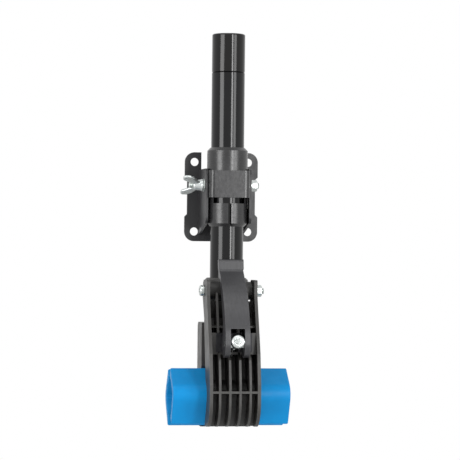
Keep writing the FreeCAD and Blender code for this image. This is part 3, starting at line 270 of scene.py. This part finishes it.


# The third colour of each nylon is a painted highlight on its edges.
FINISH["black_nylon"] = filled_nylon(
    "glass_filled_nylon_black", "#2e2d2c", "#353432", painted_highlight="#605e5b",
    dullest=0.54, glossiest=0.42, flow_mm=9, stretch=(1, 1, 0.8))
FINISH["lever_nylon"] = filled_nylon(
    "glass_filled_nylon_polished", "#262628", "#303033", painted_highlight="#5c5c5f",
    dullest=0.4, glossiest=0.28, flow_mm=1.4, stretch=(1, 0.4, 0.08))
print("made", FINISH["black_nylon"].name, "and", FINISH["lever_nylon"].name)

# %% [markdown]
# ## Zinc plate, for the fasteners
#
# Bolts, nuts and washers are mild steel with bright zinc, the wing nut is a zinc casting,
# the cam's seat plate has black oxide, and the spring is bare drawn wire. They could be
# given a grey paint, but only a real metal surface takes up the room's light as they do.
# A metal keeps the default IOR and takes its look from its roughness, which varies with
# the marks of drawing and turning.


# %% Zinc-plated steel, zinc casting, black oxide and spring wire
def plated_metal(name, low, high, glossiest, dullest, marks_mm):
    """Bare or plated metal with the marks of its making, marks_mm wide."""
    made, tree, place = blank(name)
    marks = add(tree, "ShaderNodeTexNoise", {
        "Vector": place, "Scale": per_mm(marks_mm), "Detail": 4})
    shader = add(tree, "ShaderNodeBsdfPrincipled", {
        "Base Color": add(tree, "ShaderNodeValToRGB", {"Fac": marks}, (low, high)),
        "Metallic": 1,
        "Roughness": add(tree, "ShaderNodeMapRange", {
            "Value": marks, **FROM_NOISE, "To Min": glossiest, "To Max": dullest}),
        "Normal": add(tree, "ShaderNodeBump", {"Height": marks, "Distance": 0.015 * MM})})
    add(tree, "ShaderNodeOutputMaterial", {"Surface": shader})
    return made


FINISH["zinc_steel"] = plated_metal(
    "zinc_plated_steel", "#b9bfbf", "#cfd3cf", glossiest=0.2, dullest=0.34, marks_mm=1.2)
FINISH["black_oxide_steel"] = plated_metal(
    "black_oxide_steel", "#2a2a2c", "#363638", glossiest=0.35, dullest=0.5, marks_mm=1.5)
FINISH["zinc_casting"] = plated_metal(
    "zinc_casting_plated", "#aeb3b4", "#c6cac8", glossiest=0.3, dullest=0.42, marks_mm=1.6)
FINISH["spring_wire"] = plated_metal(
    "spring_steel_wire", "#8f9494", "#a8adab", glossiest=0.25, dullest=0.38, marks_mm=0.6)
print("made four metals")

# %% [markdown]
# ## Moulded rubber, for the jaw pads
#
# The pads are a solid vivid blue rubber. Rubber scatters light softly, so it is rough
# with a broad weak shine, and its skin copies the sparked mould as a fine even grain.
# Sheen could lift its edges, but then the blue goes pale; a specular level below the
# usual 0.5 keeps it vivid instead.


# %% Blue moulded rubber
def moulded_rubber():
    """Vivid blue rubber with a sparked skin and faint sink marks."""
    made, tree, place = blank("moulded_rubber_blue")
    clouds = add(tree, "ShaderNodeTexNoise", {"Vector": place, "Scale": per_mm(18), "Detail": 3})
    dullness = add(tree, "ShaderNodeTexNoise", {"Vector": place, "Scale": per_mm(4)})
    sparks = add(tree, "ShaderNodeTexNoise", {"Vector": place, "Scale": per_mm(0.6)})
    sinks = add(tree, "ShaderNodeTexNoise", {"Vector": place, "Scale": per_mm(12), "Detail": 1})
    fine = add(tree, "ShaderNodeBump", {"Height": sparks, "Distance": 0.02 * MM})
    shader = add(tree, "ShaderNodeBsdfPrincipled", {
        "Base Color": add(tree, "ShaderNodeValToRGB", {"Fac": clouds}, ("#007dbb", "#0085c5")),
        "Roughness": add(tree, "ShaderNodeMapRange", {
            "Value": dullness, **FROM_NOISE, "To Min": 0.4, "To Max": 0.5}),
        "IOR": 1.5,
        "Specular IOR Level": 0.2,
        "Normal": add(tree, "ShaderNodeBump", {
            "Height": sinks, "Distance": 0.1 * MM, "Normal": fine})})
    add(tree, "ShaderNodeOutputMaterial", {"Surface": shader})
    return made


FINISH["blue_rubber"] = moulded_rubber()
print("made", FINISH["blue_rubber"].name)

# %% [markdown]
# ## Finishes on the CAD solids
#
# The record gives each CAD node a material slot, and the finishes above go by the same
# names. They could be set node by node, but a loop over the record can't miss one.

# %% Give each CAD node its finish
for part in frame["record"]["subparts"]:
    item = frame["nodes"][part["node"]]
    item.data.materials.clear()
    item.data.materials.append(FINISH[part["material_slot"]])
print(len(FINISH), "finishes on", len(frame["nodes"]), "CAD nodes")

# %% [markdown]
# ## Soft edges on the CAD solids
#
# No real edge is a perfect line: paint, plating and moulding all round it off, and it
# is the rounded edge that catches the light. The rounding could be drawn in the CAD, but
# it would cost thousands of faces there. Here a weld joins the seams of the imported
# mesh, a bevel rounds what is sharper than 35 degrees, and weighted normals keep the
# flat faces flat. These are modifiers, so the CAD mesh itself is left alone.

# %% Bevelled edges
SHARP = 35              # degrees
WELD = 0.002            # mm
BEVEL_WIDTH = {
    "wall_plate": 0.5, "swivel_collar": 0.6, "arm_cap": 0.3, "clamp_body": 0.5, "front_jaw": 0.35,
    "cam_lever": 1.3, "pivot_washers": 0.12, "jaw_pivot_washers": 0.12, "adjuster_nut": 0.2,
    "cam_pin": 0.25, "cam_seat_plate": 0.2, "rod_anchor": 0.3,
}

for name, width in BEVEL_WIDTH.items():
    item = frame["nodes"][name]
    item.modifiers.new("weld", "WELD").merge_threshold = WELD * MM
    edge = item.modifiers.new("edge", "BEVEL")
    edge.width = width * MM
    edge.segments = 2
    edge.limit_method = "ANGLE"
    edge.angle_limit = math.radians(SHARP)
    item.modifiers.new("flat_faces", "WEIGHTED_NORMAL").keep_sharp = True
print(len(BEVEL_WIDTH), "nodes with soft edges")

# %% [markdown]
# ## Outlines with round corners
#
# The pieces from here on replace CAD solids. Each is drawn in millimetres round its own
# axis, then put where the CAD node lies. A moulding starts as an outline with round
# corners that is pushed along X. A bevel modifier could round its rims, but it clamps to
# a thin line where points are dense; so the rims are drawn ring by ring, each a little
# smaller.


# %% Outlines and mouldings
def rounded(points, radii, step):
    """Outline with an arc of its own radius at each corner, a point every step degrees."""
    made = []
    for i, (corner, radius) in enumerate(zip(points, radii)):
        here = Vector(corner)
        if not radius:
            made.append(here)
            continue
        back = (Vector(points[i - 1]) - here).normalized()
        ahead = (Vector(points[(i + 1) % len(points)]) - here).normalized()
        half = back.angle(ahead) / 2
        middle = here + (back + ahead).normalized() * (radius / math.sin(half))
        start = here + back * (radius / math.tan(half)) - middle
        sweep = math.pi - 2 * half
        turn = 1 if start.y * back.x > start.x * back.y else -1
        count = max(2, round(math.degrees(sweep) / step))
        for k in range(count + 1):
            angle = turn * sweep * k / count
            made.append(middle + Vector((start.x * math.cos(angle) - start.y * math.sin(angle),
                                         start.x * math.sin(angle) + start.y * math.cos(angle))))
    return made


def inset(outline, depth):
    """The same outline, moved inward by a small depth, but not far at a sharp corner."""
    area = sum(a.x * b.y - b.x * a.y for a, b in zip(outline, outline[1:] + outline[:1]))
    side = 1 if area > 0 else -1
    made = []
    for i, here in enumerate(outline):
        first = (here - outline[i - 1]).normalized()
        last = (outline[(i + 1) % len(outline)] - here).normalized()
        across = Vector((-(first.y + last.y), first.x + last.x)).normalized() * side
        lean = max(0.4, across.dot(Vector((-first.y, first.x)) * side))
        made.append(here + across * (depth / lean))
    return made


def extruded(outline, start, end, rim, steps=4):
    """Solid along X with the outline (y, z) at every station and round rims at both ends."""
    made = bmesh.new()
    arcs = [math.pi / 2 * k / steps for k in range(steps + 1)]
    stations = [(start + rim * (1 - math.sin(a)), rim * (1 - math.cos(a))) for a in reversed(arcs)]
    stations += [(end - rim * (1 - math.sin(a)), rim * (1 - math.cos(a))) for a in arcs]
    loops = [[made.verts.new((x, p.x, p.y)) for p in inset(outline, depth)]
             for x, depth in stations]
    for first, last in zip(loops, loops[1:]):
        for i in range(len(first)):
            made.faces.new((first[i - 1], first[i], last[i], last[i - 1]))
    made.faces.new(loops[0])
    made.faces.new(reversed(loops[-1]))
    return made


def shaded(mesh_data, name, slot, body, nodes, place, sharp=SHARP):
    """Object from a bmesh in mm: shaded, placed, given its finish, and bound to its body."""
    for face in mesh_data.faces:
        face.smooth = True
    bmesh.ops.recalc_face_normals(mesh_data, faces=mesh_data.faces)
    for edge in mesh_data.edges:
        if len(edge.link_faces) == 2 and edge.calc_face_angle(0) > math.radians(sharp):
            edge.smooth = False
    mesh_data.transform(Matrix.Scale(MM, 4))
    mesh_data.transform(place)
    mesh = bpy.data.meshes.new(name)
    mesh_data.to_mesh(mesh)
    mesh_data.free()
    mesh.materials.append(FINISH[slot])
    made = bpy.data.objects.new(name, mesh)
    bpy.context.collection.objects.link(made)
    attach(made, body)
    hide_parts(*nodes)
    return made


print("outline helpers ready")

# %% [markdown]
# ## The rubber pads
#
# Both pads are the same moulding: an angled block of even thickness, folded round a
# 13 mm radius outside, with a shallow groove inside that fits the tube. The groove could
# be cut out with a boolean, but that leaves ragged shading; it is part of the outline
# instead. All edges are rounded by 1 to 2 mm, as rubber leaves a mould. The front pad
# leans with its jaw.

# %% Rubber pads
grip = next(m for m in frame["record"]["mounts"] if m["name"] == "frame_grip")
GRIP_RADIUS = grip["dims"]["r_mm"]
PAD_HALF = grip["dims"]["length_mm"] / 2
PAD_LEAN = 13.75        # degrees
PAD_RIM = 1.4           # mm, as all sizes below
EDGE_OUT, EDGE_UP = 10.7, 28.5      # a pad's upper edge, out from the grip's middle and up
FOLD_OUT = 35.9         # its fold outside
GROOVE_OUT = 24.7       # the fold of its groove
TIP_UP = 20.0           # the tips beside the groove
CORNER_RADII = (2, 13, 2, 1.6, 5, 1.6)
POINT_GAP = 1.5         # between points, close enough to follow the grip's round


def pad_outline():
    """Section of a pad, out from the grip's middle and up, in mm."""
    tip_out = GROOVE_OUT - TIP_UP * ((FOLD_OUT - EDGE_OUT) / EDGE_UP)
    outline = rounded(
        [(EDGE_OUT, EDGE_UP), (FOLD_OUT, 0), (EDGE_OUT, -EDGE_UP),
         (tip_out, -TIP_UP), (GROOVE_OUT, 0), (tip_out, TIP_UP)], CORNER_RADII, step=5)
    dense = []
    for here, ahead in zip(outline, outline[1:] + outline[:1]):
        count = max(1, round((ahead - here).length / POINT_GAP))
        dense += [here.lerp(ahead, k / count) for k in range(count)]
    return [p if p.length > GRIP_RADIUS else p.normalized() * GRIP_RADIUS for p in dense]


for node, body, side, lean in (("rear_pad", "clamp_head", 1, 0),
                               ("front_pad", "swing_jaw", -1, PAD_LEAN)):
    a = math.radians(lean)
    section = [Vector((side * (p.x * math.cos(a) - p.y * math.sin(a)),
                       p.x * math.sin(a) + p.y * math.cos(a))) for p in pad_outline()]
    shaded(extruded(section, -PAD_HALF, PAD_HALF, PAD_RIM), node + "_moulded", "blue_rubber",
           body, [node], Matrix.Translation(grip["pos_m"]))
print("two pads,", 2 * PAD_HALF, "mm long")

# %% [markdown]
# ## A lathe for metal pieces
#
# Bolts, nuts and washers are turned, so a list of rings describes each of them: how far
# along the axis, how wide, and whether the ring is round, a hexagon or part of a thread.
# A screw modifier could spin a profile, but not with a hexagon head or a thread on it.


# %% Lathe
def turned(rings, pitch=1.0, depth=0.6, segments=48, closed=False):
    """Lathe work along Z. A ring is (height, radius, kind); kind is round, hex, nut or thread.

    hex is a hexagon whose flats lie at the radius; nut is such a hexagon inside a cone
    whose radius is the ring's fourth value; thread cuts a helix into the ring.
    """
    made = bmesh.new()
    loops = []
    for height, radius, kind, *limit in rings:
        loop = []
        for i in range(segments):
            angle = 2 * math.pi * i / segments
            size = radius
            if kind in ("hex", "nut"):
                size = radius / math.cos((angle + math.pi / 6) % (math.pi / 3) - math.pi / 6)
            if kind == "nut":
                size = min(size, limit[0])
            if kind == "thread":
                phase = (height / pitch - i / segments) % 1
                size = radius - depth * (1 - abs(2 * phase - 1))
            loop.append(made.verts.new((size * math.cos(angle), size * math.sin(angle), height)))
        loops.append(loop)
    pairs = list(zip(loops, loops[1:])) + ([(loops[-1], loops[0])] if closed else [])
    for first, last in pairs:
        for i in range(segments):
            made.faces.new((first[i - 1], first[i], last[i], last[i - 1]))
    if not closed:
        made.faces.new(loops[0])
        made.faces.new(loops[-1])
    return made


def along(start, direction):
    """Matrix that lays a piece drawn along Z from a start point in a direction."""
    way = Vector(direction).normalized()
    return Matrix.Translation(start) @ way.to_track_quat("Z", "Y").to_matrix().to_4x4()


def middle_of(node):
    """Centre of a CAD node's box, in metres."""
    first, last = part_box(node)
    return (Vector(first) + Vector(last)) / 2


print("lathe ready")

# %% [markdown]
# ## Studs, bolts and the draw rod
#
# Their threads are cut here as real helices: M6 has a 1 mm pitch and M5 a 0.8 mm one,
# each about 0.6 of the pitch deep. A bump could fake them, but the outline of a thread
# would stay straight. Button heads get a domed rim and a hexagon socket.

# %% Threaded pieces
M6 = {"radius": 3, "pitch": 1.0}
M5 = {"radius": 2.5, "pitch": 0.8}
THREAD_DEPTH = 0.6      # of the pitch
RINGS_PER_TURN = 6
RUN_OUT = 0.5           # mm from the plain shank to the thread
END_TAPER = 0.82
AXIS = 0.05             # mm, the width left at the middle of a closed end


def threads(start, end, radius, pitch):
    """Rings of a threaded stretch, with a bevelled end."""
    rows = max(2, round((end - start) / pitch * RINGS_PER_TURN))
    made = [(start, radius, "round")]
    made += [(start + (end - start) * k / rows, radius, "thread") for k in range(1, rows)]
    return made + [(end, radius * END_TAPER, "round")]


def button(radius):
    """Rings of a button head with a hexagon socket, from the socket's floor to the shank."""
    width, length, key = radius * 1.75, radius * 1.15, radius * 0.67
    dome, dome_steps, chamfer = radius * 0.62, 7, 0.25
    socket_floor, socket_wall, socket_lip = length * 0.45, length * 0.4, 0.12
    made = [(socket_floor, AXIS, "round"), (socket_wall, key, "hex"), (socket_lip, key, "hex"),
            (0, key * 1.3, "round")]
    for k in range(1, dome_steps + 1):
        a = math.pi / 2 * k / dome_steps
        made.append((dome * (1 - math.cos(a)), width - dome + dome * math.sin(a), "round"))
    return made + [(length - chamfer, width, "round"), (length, width - chamfer, "round"),
                   (length, radius, "round")]


def disc_head(radius, thick, shank):
    """Rings of a flat round head, from its outer face to the shank."""
    chamfer = 0.3
    return [(0, AXIS, "round"), (0, radius - chamfer, "round"), (chamfer, radius, "round"),
            (thick - chamfer, radius, "round"), (thick, radius - chamfer, "round"),
            (thick, shank, "round")]


def bolt(node, body, size, head, plain, side):
    """Bolt or stud along X in place of a CAD node. side is the side of X where its head lies."""
    first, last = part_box(node)
    middle = middle_of(node)
    length = (last[0] - first[0]) / MM
    start = (last[0] if side > 0 else first[0], middle.y, middle.z)
    rings = head + [(plain, size["radius"], "round")] + threads(plain + RUN_OUT, length, **size)
    shaded(turned(rings, size["pitch"], size["pitch"] * THREAD_DEPTH), node + "_threaded",
           "zinc_steel", body, [node], along(start, (-side, 0, 0)))


stud_head = disc_head(radius=6.5, thick=1.7, shank=M6["radius"])
bolt("pivot_stud_left", "swivel", M6, stud_head, plain=4, side=1)
bolt("pivot_stud_right", "swivel", M6, stud_head, plain=4, side=-1)
bolt("jaw_pivot_bolt", "clamp_head", M6, button(M6["radius"]), plain=46, side=-1)
bolt("pinch_bolt", "clamp_head", M5, button(M5["radius"]), plain=14, side=1)
print("two studs and two bolts")

# %% Draw rod
ROD_PLAIN = 24          # mm from the anchor to the thread
ROD_END = 2.9           # mm, the radius of its bevelled end
joints = {joint["name"]: joint for joint in frame["record"]["behaviour"]["joints"]}
anchor = Vector(joints["rod_tilt"]["pos_m"])
rod_way = Vector(joints["cam_slide"]["axis"]).normalized()
rod_low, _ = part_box("draw_rod")
rod_length = (anchor.y - rod_low[1] - M6["radius"] * MM * abs(rod_way.z)) / abs(rod_way.y) / MM
rod_rings = [(0, ROD_END, "round"), (ROD_PLAIN, M6["radius"], "round")]
rod_rings += threads(ROD_PLAIN + RUN_OUT, rod_length, **M6)
shaded(turned(rod_rings, M6["pitch"], M6["pitch"] * THREAD_DEPTH), "draw_rod_threaded",
       "zinc_steel", "rod", ["draw_rod"], along(anchor, rod_way))
print("a rod of", round(rod_length, 1), "mm")

# %% [markdown]
# ## Nuts and the dished spring washer
#
# A hexagon nut is a hexagon trimmed by a cone on both faces, which leaves the curved
# arcs that every nut shows. A boolean with a cone could cut them; here the lathe takes
# the smaller of hexagon and cone at each ring. The rear spring washer is pressed from
# sheet, with a raised rim.


# %% Nuts
def hexagon_nut(node, body, flats, side):
    """Nut along X in place of a CAD node, flats mm across, its seat on the inner side."""
    first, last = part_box(node)
    middle = middle_of(node)
    height = (last[0] - first[0]) / MM
    half, bore, widest = flats / 2, flats * 0.31, flats * 0.56
    cone_steps, cone_rise, chamfer = 4, 0.14, 0.35
    narrowest = half * 0.97
    cone = [(narrowest + (widest - narrowest) * k / cone_steps) for k in range(cone_steps + 1)]
    rings = [(chamfer, bore, "round"), (0, bore + chamfer, "round")]
    rings += [(cone_rise * k, half, "nut", size) for k, size in enumerate(cone)]
    rings += [(height - cone_rise * k, half, "nut", cone[k]) for k in range(cone_steps, -1, -1)]
    rings += [(height, bore + chamfer, "round"), (height - chamfer, bore, "round")]
    start = (first[0] if side > 0 else last[0], middle.y, middle.z)
    shaded(turned(rings, closed=True, segments=60), node + "_cut", "zinc_steel", body, [node],
           along(start, (side, 0, 0)), sharp=25)


hexagon_nut("pivot_lock_nut", "swivel", flats=10, side=1)
hexagon_nut("jaw_pivot_nut", "clamp_head", flats=10, side=1)
hexagon_nut("pinch_nut", "clamp_head", flats=8, side=-1)
print("three nuts")

# %% Spring washer
cup_low, cup_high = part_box("spring_cup_rear")
cup_middle = middle_of("spring_cup_rear")
cup_radius = (cup_high[2] - cup_low[2]) / 2 / MM
cup_hole, sheet, rim_height, chamfer = 5.0, 1.0, 1.5, 0.3
rim_out, rim_in, dish = cup_radius - 0.4, cup_radius - 1.4, cup_radius - 2.4
cup = [(0, cup_hole, "round"), (0, rim_out, "round"), (chamfer, cup_radius, "round"),
       (rim_height - chamfer, cup_radius, "round"), (rim_height, rim_out, "round"),
       (rim_height, rim_in, "round"), (sheet, dish, "round"),
       (sheet, cup_hole + chamfer, "round"), (sheet - chamfer, cup_hole, "round")]
shaded(turned(cup, closed=True), "spring_cup_rear_dished", "zinc_steel", "clamp_head",
       ["spring_cup_rear"], along((0, cup_high[1], cup_middle.z), (0, -1, 0)))
print("a washer of", round(2 * cup_radius, 1), "mm")

# %% [markdown]
# ## The wing nut
#
# A wing nut is cast in one piece: a tapered hub with a flange, and two wings that sweep
# outward and end in rounded paddles. It could be sculpted by hand, but then it would
# not follow its sizes. The hub and the wings are drawn apart, joined by a voxel remesh
# of 0.4 mm, and smoothed, which gives the soft fillets of a casting.

# %% Wing nut
WING_ANGLE = 58         # degrees round the stud, as the CAD's wings stand
WING_HALF_THICK = 1.35  # mm, as all sizes below
WING_RIM = 0.9
VOXEL = 0.4
HUB = [(0.3, 3.1), (0, 3.5), (0, 5.7), (0.4, 6.0), (1.6, 6.0), (2.4, 5.5), (8.6, 4.7), (9.8, 4.0),
       (10, 3.5), (9.7, 3.1)]           # along the stud, and how wide
PADDLE = [(2.4, 3.2), (9.5, 12.6), (14.2, 15.6), (20.8, 15.4), (20.4, 9.6), (14.5, 6.2),
          (9.4, 3.2)]                   # along the stud, and out from it
PADDLE_RADII = (0, 9, 3.5, 2.4, 2.6, 6, 0)

_, wing_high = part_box("wing_nut")
foot = Vector((wing_high[0], *middle_of("wing_nut")[1:]))
casting = turned([(height, radius, "round") for height, radius in HUB], closed=True, segments=40)
paddle = rounded(PADDLE, PADDLE_RADII, step=10)
for side in (1, -1):
    blade = extruded([Vector((side * p.y, p.x)) for p in paddle],
                     -WING_HALF_THICK, WING_HALF_THICK, WING_RIM, steps=2)
    scratch = bpy.data.meshes.new("wing_scratch")
    blade.to_mesh(scratch)
    blade.free()
    casting.from_mesh(scratch)
    bpy.data.meshes.remove(scratch)
wing_turn = Matrix.Rotation(math.radians(90 + WING_ANGLE), 4, "X")
wing = shaded(casting, "wing_nut_cast", "zinc_casting", "wing", ["wing_nut"],
              Matrix.Translation(foot) @ wing_turn @ Matrix.Rotation(math.radians(-90), 4, "Y"))
joined = wing.modifiers.new("joined", "REMESH")
joined.mode = "VOXEL"
joined.voxel_size = VOXEL * MM
joined.use_smooth_shade = True
worn = wing.modifiers.new("worn", "SMOOTH")
worn.factor = 0.5
worn.iterations = 6
print("wing nut at", WING_ANGLE, "degrees")

# %% [markdown]
# ## Floor and white room
#
# The part hangs on a wall, so the floor lies 12 cm under it and only takes its shadow.
# The white ground behind the part could be a lit wall, but that would hide the
# part from other sides and light it too. So the room itself is white to the camera, to
# mirror-like rays and to rays through glass, and it lights the part at less than half
# of that, so that the lamps give the shapes their shade.

# %% Floor and background
FLOOR_REACH, FLOOR_DROP = 0.7, 0.12     # m
low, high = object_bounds()
centre = [(a + b) / 2 for a, b in zip(low, high)]
height = high[2] - low[2]
floor_z = low[2] - FLOOR_DROP

floor_mesh = bpy.data.meshes.new("floor")
disc = bmesh.new()
bmesh.ops.create_circle(disc, cap_ends=True, segments=96, radius=FLOOR_REACH,
                        matrix=Matrix.Translation((centre[0], centre[1], floor_z)))
disc.to_mesh(floor_mesh)
disc.free()
floor = bpy.data.objects.new("floor", floor_mesh)
bpy.context.collection.objects.link(floor)
paper, tree, place = blank("floor_paper_white")
clouds = add(tree, "ShaderNodeTexNoise", {"Vector": place, "Scale": per_mm(40)})
shader = add(tree, "ShaderNodeBsdfPrincipled", {
    "Base Color": add(tree, "ShaderNodeValToRGB", {"Fac": clouds}, ("#f2f2f1", "#f6f6f5")),
    "Roughness": 0.8})
add(tree, "ShaderNodeOutputMaterial", {"Surface": shader})
floor_mesh.materials.append(paper)

world = bpy.data.worlds.new("studio")
bpy.context.scene.world = world
world.use_nodes = True
tree = world.node_tree
tree.nodes.clear()
path = add(tree, "ShaderNodeLightPath")
soft_light = add(tree, "ShaderNodeBackground", {"Color": srgb("#fafafa"), "Strength": 0.45})
white = add(tree, "ShaderNodeBackground", {"Color": (1, 1, 1, 1), "Strength": 1.0})
direct = add(tree, "ShaderNodeMath", {
    0: path.outputs["Is Camera Ray"], 1: path.outputs["Is Transmission Ray"]}, operation="MAXIMUM")
shown = add(tree, "ShaderNodeMath", {
    0: direct, 1: path.outputs["Is Glossy Ray"]}, operation="MAXIMUM")
seen = add(tree, "ShaderNodeMixShader", {0: shown, 1: soft_light, 2: white})
add(tree, "ShaderNodeOutputWorld", {"Surface": seen})
print("floor at", round(floor_z / MM), "mm")

# %% [markdown]
# ## Lamps and camera
#
# A broad soft box on the left gives the tube its wide grey streak, a narrow one on the
# right its bright line with a grey tail beside it, and a large soft lamp fills from
# above. Spot lamps could light it as well, but gloss black shows the shape of each lamp,
# so their size matters more than their strength. A long lens keeps the uprights parallel.


# %% Lamps
def bearing(azimuth, elevation):
    """Direction out from the part, degrees round from its front and up from level."""
    a, e = math.radians(azimuth), math.radians(elevation)
    return Vector((math.sin(a) * math.cos(e), -math.cos(a) * math.cos(e), math.sin(e)))


def lamp(name, azimuth, elevation, distance, size, watts):
    """A soft rectangular lamp round the part, aimed at its middle."""
    away = bearing(azimuth, elevation)
    data = bpy.data.lights.new(name, "AREA")
    data.shape = "RECTANGLE"
    data.size, data.size_y = size
    data.energy = watts
    made = bpy.data.objects.new(name, data)
    made.location = Vector(centre) + away * distance
    made.rotation_euler = (-away).to_track_quat("-Z", "Y").to_euler()
    bpy.context.collection.objects.link(made)


lamp("box_left", azimuth=-53, elevation=6, distance=1.3, size=(0.62, 0.62), watts=8.5)
lamp("box_right", azimuth=20, elevation=6, distance=1.3, size=(0.2, 0.62), watts=6)
lamp("tail_right", azimuth=40, elevation=6, distance=1.3, size=(0.4, 0.62), watts=5)
lamp("top_soft", azimuth=-20, elevation=62, distance=1.4, size=(1.2, 0.9), watts=4.5)
print("four lamps")

# %% Camera
CAMERA_AZIMUTH, CAMERA_ELEVATION, CAMERA_ROLL = -8.4, -0.3, 0.6
LENS, SENSOR = 180, 36  # mm
FILL = 0.86             # share of the picture's height that the part takes
away = bearing(CAMERA_AZIMUTH, CAMERA_ELEVATION)
camera_data = bpy.data.cameras.new("camera")
camera_data.lens = LENS
camera_data.sensor_width = SENSOR
distance = height / FILL * LENS / SENSOR
camera = bpy.data.objects.new("camera", camera_data)
camera.location = Vector(centre) + away * distance
level = (-away).to_track_quat("-Z", "Y").to_matrix()
camera.rotation_euler = (level @ Matrix.Rotation(math.radians(CAMERA_ROLL), 3, "Z")).to_euler()
bpy.context.collection.objects.link(camera)
bpy.context.scene.camera = camera
bpy.context.scene.view_settings.view_transform = "Standard"
print("camera", round(distance, 2), "m away")
